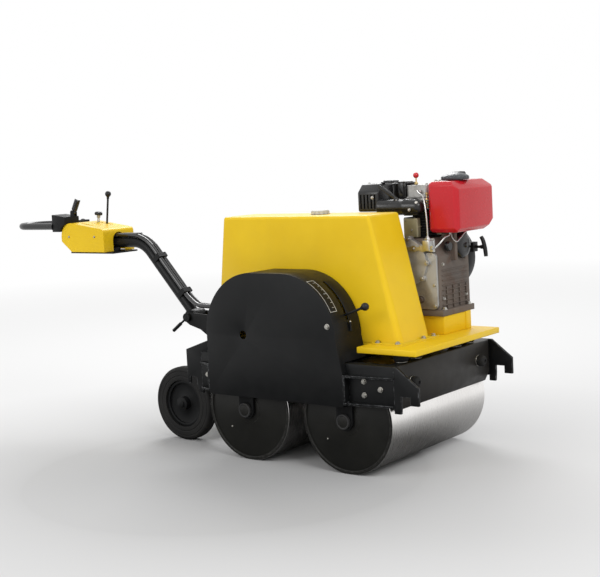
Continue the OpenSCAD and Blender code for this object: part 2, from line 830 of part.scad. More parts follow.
exciter_left = 240;
exciter_wall = 8;
exciter_end = 20;
exciter_shaft_r = exciter_shaft_d / 2;
weight_r = 36;
weight_l = 150;
belt_t = 8;
belt_w = 12;
rim_t = 4;
rim_h = 9;
belt_plane = -cover_out + cover_t + belt_w / 2 + rim_t + seat_gap + washer_t;

module exciter_housing() color(dark) row_frame() {
  r = exciter_d / 2;
  difference() {
    union() {
      cyl_y(r, -plate_in, exciter_left, 0, exciter_z);
      box([-beam_gap, exciter_left - exciter_end, exciter_z], [beam_gap, exciter_left, beam_top]);
      box([-beam_gap, -plate_in + exciter_end, exciter_z],
        [beam_gap, -plate_in + 2 * exciter_end, beam_top]);
    }
    cyl_y(r - exciter_wall, -plate_in + exciter_end, exciter_left - exciter_end, 0, exciter_z);
    cyl_y(exciter_shaft_r + run_fit, -plate_in - over, exciter_left + over, 0, exciter_z);
  }
}

module exciter_shaft() color(steel) row_frame() {
  cyl_y(exciter_shaft_r, belt_plane - belt_w, exciter_left - seat_gap, 0, exciter_z);
  mid = (exciter_left - plate_in) / 2;
  for (y = [mid - weight_l, mid + weight_l / 2])
    slab_y(y, y + weight_l / 2) translate([0, exciter_z]) difference() {
      circle(weight_r);
      translate([-weight_r - over, 0]) square(2 * (weight_r + over));
    }
}

// A pulley whose groove takes one belt; the belt lies on the groove's floor
module pulley(groove_d, bore, y, x, z) {
  difference() {
    union() {
      cyl_y(groove_d / 2, y - belt_w / 2 - rim_t, y + belt_w / 2 + rim_t, x, z);
      for (s = [-1, 1])
        cyl_y(groove_d / 2 + rim_h, y + s * (belt_w + rim_t) / 2 - rim_t / 2,
          y + s * (belt_w + rim_t) / 2 + rim_t / 2, x, z);
    }
    cyl_y(bore, y - 2 * belt_w, y + 2 * belt_w, x, z);
  }
}

module belt(rings, y) {
  slab_y(y - belt_w / 2 + seat_gap, y + belt_w / 2 - seat_gap)
    difference() {
      polygon(loop_points(rings, belt_t));
      polygon(loop_points(rings, seat_gap));
    }
}

engine_belt_plane = -130;
exciter_rings = [[0, exciter_z, exciter_pulley_d / 2], [-jack_x, jack_z, jack_out_d / 2]];
engine_rings = [[-jack_x, jack_z, jack_pulley_d / 2], [crank_x, crank_z, pto_pulley_d / 2]];

module exciter_pulley() color(dark) row_frame()
  pulley(exciter_pulley_d, exciter_shaft_r + weld_gap, belt_plane, 0, exciter_z);

module drive_belts() color(rubber) row_frame() {
  belt(exciter_rings, belt_plane);
  belt(engine_rings, engine_belt_plane);
}

module jackshaft() color(steel) row_frame() {
  cyl_y(jack_r, belt_plane - belt_w / 2 - rim_t, -pump_back, -jack_x, jack_z);
  pulley(jack_out_d, jack_r + weld_gap, belt_plane, -jack_x, jack_z);
  pulley(jack_pulley_d, jack_r + weld_gap, engine_belt_plane, -jack_x, jack_z);
}

pump_back = 58;
pump_front = 14;
pump_r = 38;

module hydraulic_pump() color(dark) row_frame() {
  cyl_y(pump_r, -pump_back + seat_gap, -pump_front, -jack_x, jack_z);
  box([-jack_x - block_w, -pump_back + seat_gap + block_t / 2, deck_top],
    [-jack_x + block_w, -pump_front, deck_top + block_t / 2]);
  box([-jack_x - pump_r, -pump_back + seat_gap + block_t / 2, deck_top],
    [-jack_x + pump_r, -pump_front - block_t / 2, jack_z]);
}

// Engine

eng_near = 60;
eng_far = 296;
ped_ahead = 156;
ped_behind = 70;
ped_front = crank_x + ped_ahead;
ped_rear = crank_x - ped_behind;
ped_far = 263;
ped_wall = 6;
case_foot_t = 24;
case_wall = 20;
case_ahead = 140;
case_behind = 100;
case_up = 95;
case_front = crank_x + case_ahead;
case_rear = crank_x - case_behind;
case_top = crank_z + case_up;
crank_r = 15;
cavity_r = 78;
cover_plate_t = 26;
barrel_shift = 8;
barrel_x = crank_x + barrel_shift;
barrel_y = 178;
barrel_r = 48;
fin_t = 3;
fin_pitch = 11;
fin_half = [68, 64];
head_low = case_top + barrel_h;
head_top = head_low + head_h;
rocker_half = [54, 58];

module engine_pedestal() color(yellow) row_frame() {
  difference() {
    box([ped_rear, eng_near, deck_top], [ped_front, ped_far, case_low]);
    box([ped_rear + ped_wall, eng_near + ped_wall, deck_top - over],
      [ped_front - ped_wall, ped_far + over, case_low - ped_wall]);
  }
  box([ped_front, ped_far - 2 * foot_w, deck_top], [ped_front + ped_wall, ped_far, case_low]);
  box([ped_rear - ped_wall, eng_near, deck_top], [ped_rear, eng_near + 2 * foot_w, case_low]);
}

module crankcase() color(alloy) row_frame() {
  difference() {
    union() {
      box([case_rear - foot_w, eng_near - foot_w / 2, case_low],
        [case_front + foot_w, eng_far, case_low + case_foot_t]);
      slab_y(eng_near, eng_far)
        polygon([
          [case_rear, case_low + over], [case_front, case_low + over], [case_front, crank_z + foot_w],
          [case_front - 2 * foot_w, case_top], [case_rear + 2 * foot_w, case_top], [case_rear,
            crank_z + foot_w]]);
      for (z = [case_low + 2 * case_wall : case_wall : crank_z - case_wall])
        box([case_rear - fin_t * 2, eng_near + foot_w, z], [case_front + fin_t * 2, eng_far - foot_w,
          z + fin_t]);
      for (y = [barrel_y - foot_w, barrel_y + 3 * foot_w])
        box([case_front - 2 * foot_w, y, crank_z], [case_front + foot_w, y + foot_w, tank_low]);
    }
    cyl_y(cavity_r, eng_near + case_wall, eng_far - case_wall, crank_x, crank_z);
    cyl_y(crank_r + run_fit, eng_near - over, eng_far + over, crank_x, crank_z);
    cyl_z(barrel_r - fin_t, crank_z, case_top + over, barrel_x, barrel_y);
  }
}

module crankcase_cover() color(alloy) row_frame() {
  difference() {
    union() {
      cyl_y(cavity_r + foot_w, eng_near - cover_plate_t, eng_near, crank_x, crank_z);
      slab_y(eng_near - cover_plate_t / 2, eng_near)
        round_rect([case_rear + fin_t, case_low + case_foot_t + fin_t],
          [case_front - fin_t, crank_z + 2 * foot_w], foot_w);
      for (a = [0 : 40 : 320])
        cyl_y(boss_r, eng_near - cover_plate_t, eng_near,
          crank_x + (cavity_r + foot_w) * cos(a), crank_z + (cavity_r + foot_w) * sin(a));
    }
    cyl_y(crank_r + run_fit, 0, eng_near + over, crank_x, crank_z);
  }
}

module cylinder_barrel() color(dark) row_frame()
  difference() {
    union() {
      cyl_z(barrel_r, case_top, head_low, barrel_x, barrel_y);
      for (z = [case_top + fin_t : fin_pitch : head_low - fin_t])
        slab_z(z, z + fin_t)
          round_rect([barrel_x - fin_half.x, barrel_y - fin_half.y],
            [barrel_x + fin_half.x, barrel_y + fin_half.y], foot_w);
    }
    cyl_z(barrel_r - fin_t * 2, case_top - over, head_low + over, barrel_x, barrel_y);
  }

module cylinder_head() color(alloy) row_frame() {
  slab_z(head_low, head_top)
    round_rect([barrel_x - fin_half.x + fin_pitch, barrel_y - fin_half.y + fin_pitch],
      [barrel_x + fin_half.x - fin_pitch, barrel_y + fin_half.y - fin_pitch], boss_r);
  for (z = [head_low : fin_pitch : head_top - fin_t])
    slab_z(z, z + fin_t)
      round_rect([barrel_x - fin_half.x, barrel_y - fin_half.y],
        [barrel_x + fin_half.x, barrel_y + fin_half.y], boss_r);
}

module rocker_cover() color(alloy) row_frame() {
  slab_z(head_top, head_top + foot_t)
    round_rect([barrel_x - rocker_half.x, barrel_y - rocker_half.y],
      [barrel_x + rocker_half.x, barrel_y + rocker_half.y], boss_r);
  slab_z(head_top + foot_t - over, head_top + rocker_h)
    round_rect([barrel_x - rocker_half.x + foot_t, barrel_y - rocker_half.y + foot_t],
      [barrel_x + rocker_half.x - foot_t, barrel_y + rocker_half.y - foot_t], boss_r);
}

// Muffler with its slotted guard, and the air cleaner behind it

guard_rear = 55;
guard_l = 105;
guard_near = 62;
guard_w = 120;
guard_h = 116;
guard_drop = 6;
guard_cut = 34;
guard_t = 3;
guard_low = head_low - guard_drop;
guard_top = guard_low + guard_h;
guard_slots = 5;
can_gap = 7;
can_rise = 11;
can_near = 18;
stub_r = 18;
outlet_r = 15;
outlet_l = 22;
outlet_x = 24;
outlet_up = 48;
outlet_z = guard_low + outlet_up;
strut_front = 50;

// The guard's outline across the machine, or the one further in by i
function guard_outline(i) = let (c = guard_cut - i / 2) [
  [guard_near + i, guard_low + i], [guard_near + guard_w - i, guard_low + i],
  [guard_near + guard_w - i, guard_top - i], [guard_near + i + c, guard_top - i], [guard_near + i,
    guard_top - i - c]];

module muffler() color(black) row_frame() {
  head_rear = barrel_x - fin_half.x;
  head_near = barrel_y - fin_half.y;
  guard_front = guard_rear + guard_l;
  guard_mid = guard_near + guard_w / 2;
  pitch = guard_l / (guard_slots + 1);
  can_y = head_near - can_gap - muffler_d / 2;
  can_z = head_low + can_rise;
  cyl_x(muffler_d / 2, guard_front, barrel_x + fin_half.x - can_gap, can_y, can_z);
  cyl_y(stub_r, can_y, head_near, barrel_x, head_low + head_h / 2);
  difference() {
    slab_x(guard_rear, guard_front) polygon(guard_outline(0));
    slab_x(guard_rear + guard_t, guard_front - guard_t) polygon(guard_outline(guard_t));
    for (i = [0 : guard_slots - 1])
      box([guard_rear + pitch * (i + 0.75), guard_near - over, guard_low + boss_r],
        [guard_rear + pitch * (i + 1.25), guard_near + 2 * guard_t, guard_top - guard_cut - boss_r]);
  }
  cyl_y(outlet_r, guard_near + guard_w - over, guard_near + guard_w + outlet_l, guard_rear + outlet_x,
    outlet_z);
  box([guard_front - pitch, guard_mid - foot_w / 2, guard_top],
    [head_rear + strut_front, guard_mid + foot_w / 2, guard_top + foot_t]);
  box([head_rear - boss_r, guard_mid - foot_w / 2, head_top], [head_rear + boss_r, guard_mid + foot_w / 2,
    guard_top + over]);
}

cleaner_r = 52;
cleaner_y = 250;

module air_cleaner() color(black) row_frame() {
  head_rear = barrel_x - fin_half.x;
  x0 = head_rear - cleaner_r - foot_w;
  cyl_z(cleaner_r, head_low - foot_w, guard_top - boss_r, x0, cleaner_y);
  cyl_z(cleaner_r + fin_t, guard_top - boss_r, guard_top, x0, cleaner_y);
  cyl_x(stub_r, x0, head_rear, cleaner_y - 2 * foot_w, head_low + head_h / 2);
}

// Fuel tank and cap

tank_ahead = 90;
tank_up = 118;
tank_rear_x = crank_x + tank_ahead;
tank_near_y = 70;
tank_low = crank_z + tank_up;
tank_r = 16;
fuel_neck_r = 26;
fuel_cap_r = 58;
fuel_cap_h = 24;
fuel_cap_in = 110;
fuel_cap_y = tank_near_y + fuel_cap_in;
fuel_cap_x = tank_rear_x + tank_l / 2;
bevel = 34;
fuel_tank_t = 3;

// The tank's outside, or with t above zero its inside
module tank_form(t) {
  x0 = tank_rear_x + t;
  x1 = tank_rear_x + tank_l - t;
  y0 = tank_near_y + t;
  y1 = tank_near_y + tank_w - t;
  z0 = tank_low + t;
  z1 = tank_low + tank_h - t;
  intersection() {
    slab_z(z0, z1)
      polygon([[x0, y0 + tank_r], [x0 + tank_r, y0], [x1 - tank_r, y0], [x1, y0 + tank_r],
        [x1, y1 - tank_r], [x1 - tank_r, y1], [x0 + tank_r, y1], [x0, y1 - tank_r]]);
    slab_y(y0, y1)
      polygon([[x0, z0 + tank_r], [x0 + tank_r, z0], [x1 - tank_r, z0], [x1, z0 + tank_r],
        [x1, z1 - bevel], [x1 - bevel, z1], [x0 + tank_r, z1], [x0, z1 - tank_r]]);
    slab_x(x0, x1)
      polygon([[y0, z0 + tank_r], [y0 + tank_r, z0], [y1 - 2 * bevel, z0], [y1, z0 + 1.5 * bevel],
        [y1, z1 - bevel], [y1 - bevel, z1], [y0 + tank_r, z1], [y0, z1 - tank_r]]);
  }
}

module fuel_tank() color(red) row_frame() {
  top = tank_low + tank_h;
  difference() {
    union() {
      tank_form(0);
      cyl_z(fuel_neck_r, top - over, top + boss_r, fuel_cap_x, fuel_cap_y);
    }
    tank_form(fuel_tank_t);
    cyl_z(fuel_neck_r - fuel_tank_t, top - boss_r, top + boss_r + over, fuel_cap_x, fuel_cap_y);
  }
}

module fuel_cap() color(black) row_frame() {
  low = tank_low + tank_h + seat_gap;
  difference() {
    union() {
      cyl_z(fuel_cap_r, low, low + fuel_cap_h, fuel_cap_x, fuel_cap_y);
      box([fuel_cap_x - boss_r, fuel_cap_y - fuel_cap_r + boss_r, low + fuel_cap_h - over],
        [fuel_cap_x + boss_r, fuel_cap_y + fuel_cap_r - boss_r, low + fuel_cap_h + boss_r]);
    }
    cyl_z(fuel_neck_r + seat_gap, low - over, low + boss_r + seat_gap, fuel_cap_x, fuel_cap_y);
  }
}

// Fan housing with the recoil starter, and its pull handle

fan_r = fan_d / 2;
fan_out = 384;
fan_t = 4;
recoil_r = 92;
recoil_l = 30;
grip_l = 84;
grip_w = 26;
grip_t = 18;

module fan_housing() color(dark) row_frame() {
  difference() {
    union() {
      cyl_y(fan_r, eng_far, fan_out - recoil_l, crank_x, crank_z);
      cyl_y(recoil_r, fan_out - recoil_l - over, fan_out, crank_x, crank_z);
      box([crank_x + fan_r - 2 * grip_w, fan_out - recoil_l - 2 * grip_t, crank_z + foot_w],
        [crank_x + fan_r + grip_w / 2, fan_out - recoil_l, crank_z + 3 * foot_w]);
    }
    cyl_y(fan_r - fan_t, eng_far - over, fan_out - recoil_l - fan_t, crank_x, crank_z);
    for (a = [0 : 30 : 330], r = [recoil_r / 2, 3 * recoil_r / 4])
      cyl_y(fan_t, fan_out - recoil_l - over, fan_out + over, crank_x + r * cos(a), crank_z + r * sin(a));
  }
}

module recoil_handle() color(black) row_frame() {
  x0 = crank_x + fan_r + grip_w / 2 + seat_gap;
  y0 = fan_out - recoil_l - grip_t;
  z0 = crank_z + 2 * foot_w;
  slab_y(y0 - grip_t / 2, y0 + grip_t / 2)
    round_rect([x0 + grip_w, z0 - grip_l / 2], [x0 + 2 * grip_w, z0 + grip_l / 2], grip_w / 3);
  cyl_x(grip_t / 3, x0, x0 + grip_w + over, y0, z0);
}

// Crankshaft with flywheel, and the engine pulley

flywheel_r = 118;
flywheel_t = 30;
web_r = 55;
throw_r = 30;
crank_pin_r = 18;

module crankshaft() color(steel) row_frame() {
  web_l = case_wall - over;
  cyl_y(crank_r, engine_belt_plane - belt_w, eng_far + flywheel_t + fan_t, crank_x, crank_z);
  for (y = [barrel_y - web_l - crank_pin_r, barrel_y + crank_pin_r])
    cyl_y(web_r, y, y + web_l, crank_x, crank_z);
  cyl_y(crank_pin_r, barrel_y - web_l, barrel_y + web_l, crank_x, crank_z + throw_r);
  cyl_y(flywheel_r, eng_far + fan_t, eng_far + fan_t + flywheel_t, crank_x, crank_z);
}

module pto_pulley() color(dark) row_frame()
  pulley(pto_pulley_d, crank_r + weld_gap, engine_belt_plane, crank_x, crank_z);

// Injection pump, filter and fuel pipes

pipe_r = 3.5;
pump_body_w = 34;
pump_body_h = 44;
pump_nut_r = 8;
pump_in = 52;
injection_x = case_front - pump_in;
nozzle_z = head_top + rocker_h / 2;
filter_t = 26;
filter_h = 80;
filter_half = 34;

module fuel_system() color(steel) row_frame() {
  y1 = eng_near - seat_gap;
  y0 = y1 - pump_body_w;
  ym = (y0 + y1) / 2;
  z0 = crank_z + 2 * foot_w + bracket_t;
  z1 = z0 + pump_body_h;
  xm = injection_x + pump_body_w / 2;
  nozzle_x = barrel_x + foot_w;
  nozzle_y = barrel_y - rocker_half.y;
  head_near = barrel_y - fin_half.y;
  filter_x = barrel_x - boss_r;
  box([injection_x, y0, z0], [injection_x + pump_body_w, y1, z1]);
  cyl_z(boss_r, z1 - over, z1 + boss_r, xm, ym);
  pipe([
    [xm, ym, z1], [xm, ym, head_low + bracket_t], [barrel_x + fin_half.x + 2 * over, ym + foot_w,
      head_top + boss_r],
    [nozzle_x + foot_w, nozzle_y - 2 * foot_w, nozzle_z], [nozzle_x, nozzle_y - foot_w, nozzle_z],
    [nozzle_x, nozzle_y - boss_r / 2, nozzle_z]], pipe_r);
  cyl_y(pump_nut_r, nozzle_y - boss_r, nozzle_y - seat_gap, nozzle_x, nozzle_z);
  pipe([
    [injection_x + pump_body_w - over, ym, z0 + foot_w], [injection_x + pump_body_w + foot_w, ym,
      z0 + foot_w],
    [tank_rear_x + tank_l / 2, y1 + 2 * foot_w, z1 + foot_w / 2],
    [tank_rear_x + tank_l / 2, y1 + 3 * foot_w, z1 + foot_w / 2],
    [tank_rear_x + tank_l / 2, y1 + 3 * foot_w, tank_low - seat_gap]], pipe_r);
  box([filter_x - filter_half, head_near - filter_t, case_top + fin_t],
    [filter_x + filter_half, head_near, case_top + fin_t + filter_h]);
}

// Decompression lever on the rocker cover: brass stem and red knob

stem_r = 6;
stem_h = 34;
stem_knob_r = 12;
decomp_x = barrel_x - foot_w;
decomp_y = barrel_y - foot_w;

module decompression_lever() color(red) row_frame() {
  z0 = head_top + rocker_h + seat_gap + stem_r;
  cyl_y(stem_r, decomp_y - stem_r, decomp_y + stem_r, decomp_x, z0);
  cyl_z(stem_r / 2, z0, z0 + stem_h, decomp_x, decomp_y);
  translate([decomp_x, decomp_y, z0 + stem_h]) sphere(stem_knob_r);
}

// Handle bracket on the frame's rear, with the pivot bolt

cheek_in = 40;
cheek_t = 12;
pivot_r = 12;
cheek_low = 310;
base_half = 80;
base_t = 12;

module handle_bracket() color(black) row_frame() {
  back = skirt_out + base_t;
  box([-back, -base_half, cheek_low - base_t], [-skirt_out, base_half, frame_top]);
  both_sides() slab_y(cheek_in, cheek_in + cheek_t)
    polygon([
      [-back + over, cheek_low], [-back + over, frame_top - base_t], [-deck_rear - base_t,
        deck_low - side_gap],
      [-pivot_x + 3 * beam_w, pivot_z + base_t], [-pivot_x - pivot_r, pivot_z + 2 * base_t],
      [-pivot_x - 2 * pivot_r, pivot_z + base_t], [-pivot_x - 2 * pivot_r, pivot_z - 1.5 * base_t],
      [-pivot_x + pivot_r / 2, pivot_z - 3 * pivot_r], [-pivot_x + 6 * pivot_r, pivot_z - 4.5 * pivot_r]]);
  cyl_y(pivot_r, -cheek_in - cheek_t - lock_l, cheek_in + cheek_t + washer_t, -pivot_x, pivot_z);
}

lock_l = 16;
lock_hub_r = 20;
lock_reach = 112;
lock_angle = 216;
lock_rod_r = 5;
lock_grip_r = 8;
lock_grip_l = 60;

module lock_lever() color(black) row_frame() {
  y0 = -cheek_in - cheek_t - lock_l;
  y1 = -cheek_in - cheek_t - seat_gap;
  mid = (y0 + y1) / 2;
  way = [cos(lock_angle), 0, sin(lock_angle)];
  centre = [-pivot_x, mid, pivot_z];
  tip = centre + lock_reach * way;
  difference() {
    union() {
      cyl_y(lock_hub_r, y0, y1, -pivot_x, pivot_z);
      rod(centre + (pivot_r + lock_rod_r / 2) * way, tip - lock_grip_l / 2 * way, lock_rod_r);
    }
    cyl_y(pivot_r + run_fit, y0 - over, y1 + over, -pivot_x, pivot_z);
  }
  rod(tip - lock_grip_l * way, tip, lock_grip_r);
}

// Handle arm: lug, lower run, bend and upper run

arm_dir = [-cos(arm_angle), 0, sin(arm_angle)];
arm_up = [sin(arm_angle), 0, cos(arm_angle)];
arm_corner_x = pivot_x + (arm_top - pivot_z) / tan(arm_angle);
bend_tangent = bend_r * tan(arm_angle / 2);
lower_len = (arm_top - pivot_z) / sin(arm_angle) - bend_tangent;
arm_in = 44;
arm_end = console_front + arm_in;
lug_r = 34;
lug_l = 60;

// A tube along the arm's line, moved by side along Y and by lift away from the arm's underside
module along_arm(r, wall, side, lift, start, end_x) {
  rr = bend_r + lift;
  a = [-pivot_x, side, pivot_z] + lift * arm_up;
  c = [-arm_corner_x - bend_tangent, side, arm_top - bend_r];
  module solid(q) {
    rod(a + start * arm_dir, a + lower_len * arm_dir, q);
    translate(c) rotate([90, 0, 0]) rotate([0, 0, 90 - arm_angle])
      rotate_extrude(angle = arm_angle) translate([rr, 0]) circle(q);
    rod([c.x, side, arm_top + lift], [-end_x, side, arm_top + lift], q);
  }
  if (wall > 0) difference() {
    solid(r);
    solid(r - wall);
  }
  else solid(r);
}

clip_t = 4;
clip_w = 24;
clip_at = [110, 330];
hose_side = 13;
hose_lift = arm_d / 2 + hose_d / 2 + seat_gap;

module handle_arm() color(black) row_frame() {
  difference() {
    union() {
      cyl_y(lug_r, -cheek_in + seat_gap, cheek_in - seat_gap, -pivot_x, pivot_z);
      along_arm(arm_d / 2, 0, 0, 0, 0, arm_end);
    }
    cyl_y(pivot_r + run_fit, -cheek_in - over, cheek_in + over, -pivot_x, pivot_z);
  }
  for (s = clip_at) {
    p = [-pivot_x, 0, pivot_z] + s * arm_dir;
    translate(p) rotate([0, -90 + arm_angle, 0])
      translate([arm_d / 2 + hose_d + 2 * seat_gap, -hose_side - hose_d / 2, 0]) cube([clip_t,
        2 * hose_side + hose_d, clip_w]);
    for (y = [-hose_side - hose_d / 2 - clip_t - seat_gap, hose_side + hose_d / 2 + seat_gap])
      translate(p) rotate([0, -90 + arm_angle, 0]) translate([0, y,
        0]) cube([arm_d / 2 + hose_d + 2 * seat_gap + clip_t, clip_t, clip_w]);
  }
}

hose_start = 78;
hose_end = arm_end - clip_t;

module handle_hoses() color(black) row_frame() both_sides() {
  along_arm(hose_d / 2, 0, hose_side, hose_lift, hose_start, hose_end);
}

// Hoses from the hood's rear towards the pivot
hose_over = 53;
frame_hose_gap = 92;

module frame_hoses() color(black) row_frame() {
  z = max(pivot_z, deck_top) + hose_over;
  face = hood_rear - hood_rear_in * (z - deck_top - hose_d / 2) / hood_h + seat_gap;
  for (y = [-3 * hose_side, -hose_side]) cyl_x(hose_d / 2, -pivot_x + frame_hose_gap, -face, y, z);
}

// Console: yellow shell, black frame under it and the box behind it

console_low = 830;
console_front_h = 112;
console_rear_h = 142;
console_t = 3;
console_rear = console_front + console_l;
console_cut_l = 70;
console_cut_h = 52;
arch_r = 38;
arch_lift = 12;
slot_gap_w = 12;
panel_lean = 8;
throttle_in = 150;
throttle_x = console_front + throttle_in;
throttle_y = 60;
throttle_slot_l = 84;
knob_in = 213;
knob_x = console_front + knob_in;
knob_y = throttle_y;
stem_hole_r = 9;
free_slot_x = console_rear - 2 * throttle_y - foot_w;
free_slot_y = -50;
tongue_w = 40;
tongue_h = 20;

// Stands a lever or stem on its pivot, square to the console's top
module on_panel(x, y) translate([x, y, throttle_z]) rotate([0, panel_lean, 0]) children();

// The console's outline from the side, or the one further in by i
function console_outline(i) = concat(
  [[-console_front - i, console_low - (i > 0 ? over : 0)],
    [-console_front - i, console_low + console_front_h - console_r]],
  arc_points([-console_front - console_r, console_low + console_front_h - console_r], console_r - i, 0,
    90 - panel_lean),
  arc_points([-console_rear + console_rear_r, console_low + console_rear_h - console_rear_r],
    console_rear_r - i, 90 - panel_lean, 180),
  [[-console_rear + i, console_low + console_cut_h + i / 2],
   [-console_rear + console_cut_l + 2.5 * i, console_low - (i > 0 ? over : 0)]]);

module console_shell() color(yellow) row_frame()
  difference() {
    slab_y(-console_half, console_half) polygon(console_outline(0));
    slab_y(-console_half + console_t, console_half - console_t) polygon(console_outline(console_t));
    cyl_x(arch_r, -console_front - console_r, -console_front + over, 0, arm_top + arch_lift);
    box([-console_front - console_r, -arch_r, console_low - over],
      [-console_front + over, arch_r, arm_top + arch_lift]);
    for (c = [[-throttle_x, throttle_y], [-free_slot_x, free_slot_y]])
      box([c.x - throttle_slot_l / 2, c.y - slot_gap_w / 2, arm_top],
        [c.x + throttle_slot_l / 2, c.y + slot_gap_w / 2, console_low + 2 * console_rear_h]);
    on_panel(-knob_x, knob_y) cylinder(r = stem_hole_r, h = console_rear_h);
    box([-console_rear - over, -console_half + console_r, tongue_z],
      [-console_rear + console_rear_r / 2, -console_half + console_r + tongue_w, tongue_z + tongue_h]);
  }

plate_gap = 8;
rear_box_l = 50;
rear_box_near = -112;
rear_box_far = -18;
rear_box_drop = 42;
rear_box_over = 43;
rear_box_front = 44;
cross_l = 26;
cross_h = 42;
rear_box_t = 4;
ear_t = 5;
ear_gap = 14;
ear_rise = 76;
throttle_z = console_low + ear_rise;
rear_box_low = console_low + console_rear_h - rear_box_drop;
rear_box_top = console_low + console_rear_h + rear_box_over;
tongue_z = rear_box_low + rear_box_t;
travel_x = console_rear - 32;
travel_z = rear_box_top + ear_gap / 2;
travel_y = 40;
knob_post_r = 12;

module ears(x, z, low, y) {
  for (s = [-1, 1])
    slab_y(y + s * (ear_gap + ear_t) / 2 - ear_t / 2, y + s * (ear_gap + ear_t) / 2 + ear_t / 2) {
      translate([x, z]) circle(knob_post_r);
      translate([x - knob_post_r, low]) square([2 * knob_post_r, z - low]);
    }
  cyl_y(lever_pin_r / 2, y - ear_gap / 2 - ear_t, y + ear_gap / 2 + ear_t, x, z);
}

module console_frame() color(black) row_frame() {
  back = -console_rear - seat_gap;
  near = -console_half + console_r + seat_gap;
  loop_joint = console_rear + rear_box_l;
  post_x = -console_rear + console_cut_l + cross_l / 2;
  box([-console_rear + console_cut_l - cross_l, near, console_low - plate_gap],
    [-console_front + 2 * foot_w, -near, console_low - seat_gap]);
  difference() {
    box([-arm_end, -arm_d / 2, console_low - over], [-console_front - console_r - seat_gap, arm_d / 2,
      arm_top]);
    cyl_x(arm_d / 2 + weld_gap, -arm_end - over, -console_front, 0, arm_top);
  }
  ears(-throttle_x, throttle_z, console_low - over, throttle_y);
  cyl_z(knob_post_r, console_low - over, throttle_z, -knob_x, knob_y);
  difference() {
    slab_y(rear_box_near, rear_box_far) difference() {
      polygon([
        [-loop_joint, rear_box_low], [-loop_joint, rear_box_top],
        [back + rear_box_front, rear_box_top - boss_r], [back + rear_box_front, rear_box_low]]);
      polygon(console_outline(-over));
    }
    box([-loop_joint + rear_box_t, rear_box_near + rear_box_t, rear_box_low + rear_box_t],
      [back - rear_box_t, rear_box_far - rear_box_t, rear_box_top - boss_r]);
  }
  box([-loop_joint, rear_box_far - over, loop_z - cross_h / 2],
    [-loop_joint + cross_l, -rear_box_near, loop_z + cross_h / 2]);
  box([back - 2 * rear_box_t, near, tongue_z + seat_gap],
    [post_x + rear_box_t, near + tongue_w - 2 * seat_gap, tongue_z + tongue_h - seat_gap]);
  box([post_x, near, console_low - over], [post_x + rear_box_t, near + tongue_w - 2 * seat_gap,
    tongue_z + tongue_h - seat_gap]);
  ears(-travel_x, travel_z, rear_box_top - boss_r, -travel_y);
}

loop_up = 127;
loop_z = console_low + loop_up;
loop_rise = 4;
loop_flange_r = 26;

module loop_handle() color(black) row_frame() {
  x0 = console_rear + rear_box_l;
  xc = loop_rear - loop_half - loop_d / 2;
  both_sides() {
    cyl_x(loop_d / 2, -xc, -x0, loop_half, loop_z);
    cyl_x(loop_flange_r, -x0 - rear_box_t, -x0, loop_half - loop_rise * 2, loop_z);
  }
  translate([-xc, 0, loop_z]) rotate([0, 0, 90]) rotate_extrude(angle = 180) translate([loop_half,
    0]) circle(loop_d / 2);
}

// Levers and knob on the console

ball_r = 15;
throttle_rod_r = 5;
throttle_l = 202;

module throttle_lever() color(black) row_frame() on_panel(-throttle_x, throttle_y) {
  difference() {
    union() {
      cyl_y(knob_post_r, -ear_gap / 2 + seat_gap, ear_gap / 2 - seat_gap, 0, 0);
      cylinder(r = throttle_rod_r, h = throttle_l);
    }
    cyl_y(lever_pin_r / 2 + run_fit, -ear_gap, ear_gap, 0, 0);
  }
  translate([0, 0, throttle_l]) sphere(ball_r);
}

star_lobes = 5;
star_r = 13;
star_lobe_r = 8;
star_h = 18;
star_at = 96;
star_stem_r = 6;

module star_knob() color(black) row_frame() on_panel(-knob_x, knob_y) {
  translate([0, 0, star_at]) linear_extrude(star_h) {
    circle(star_r);
    for (a = [0 : 360 / star_lobes : 359])
      translate([star_r * cos(a), star_r * sin(a)]) circle(star_lobe_r);
  }
  translate([0, 0, 2 * weld_gap + star_stem_r * sin(panel_lean)]) cylinder(r = star_stem_r, h = star_at);
}

travel_rod_r = 7;
travel_grip_r = 13;
travel_grip_from = 22;
travel_grip_to = 76;
travel_angle = 60;

module travel_lever() color(black) row_frame() {
  p = [-travel_x, -travel_y, travel_z];
  way = [cos(travel_angle), 0, sin(travel_angle)];
  rod(p + travel_grip_from * way, p + travel_grip_to * way, travel_grip_r);
  difference() {
    union() {
      cyl_y(knob_post_r, -travel_y - travel_rod_r + seat_gap, -travel_y + travel_rod_r - seat_gap, p.x,
        p.z);
      rod(p + travel_rod_r * way, p + (travel_grip_from + over) * way, travel_rod_r - over);
    }
    cyl_y(lever_pin_r / 2 + run_fit, -travel_y - ear_gap, -travel_y + ear_gap, p.x, p.z);
  }
}

// Support wheels and their bracket

fork_t = 12;
fork_in = 130;
wheel_r = wheel_d / 2;
rim_r = 105;
hub_r = 30;
disc_t = 14;
fork_boss = 30;
fork_base_w = 60;

module wheel_bracket() color(black) row_frame() {
  back = skirt_out + base_t;
  both_sides() {
    box([-back, fork_in - fork_base_w / 2, cheek_low],
      [-skirt_out, fork_in + fork_base_w, frame_top - base_t]);
    slab_y(fork_in, fork_in + fork_t)
      union() {
        polygon([
          [-back + over, frame_top - base_t], [-back - fork_base_w, frame_top - base_t],
          [-wheel_x - fork_boss, wheel_r + fork_boss / 2], [-wheel_x + fork_boss / 2, wheel_r - fork_boss],
          [-back + over, cheek_low]]);
        translate([-wheel_x, wheel_r]) circle(fork_boss);
      }
  }
  cyl_y(axle_d / 2, -wheel_in - wheel_w - base_t, wheel_in + wheel_w + base_t, -wheel_x, wheel_r);
  both_sides() cyl_y(axle_d, wheel_in + wheel_w + seat_gap, wheel_in + wheel_w + base_t / 2, -wheel_x,
    wheel_r);
}

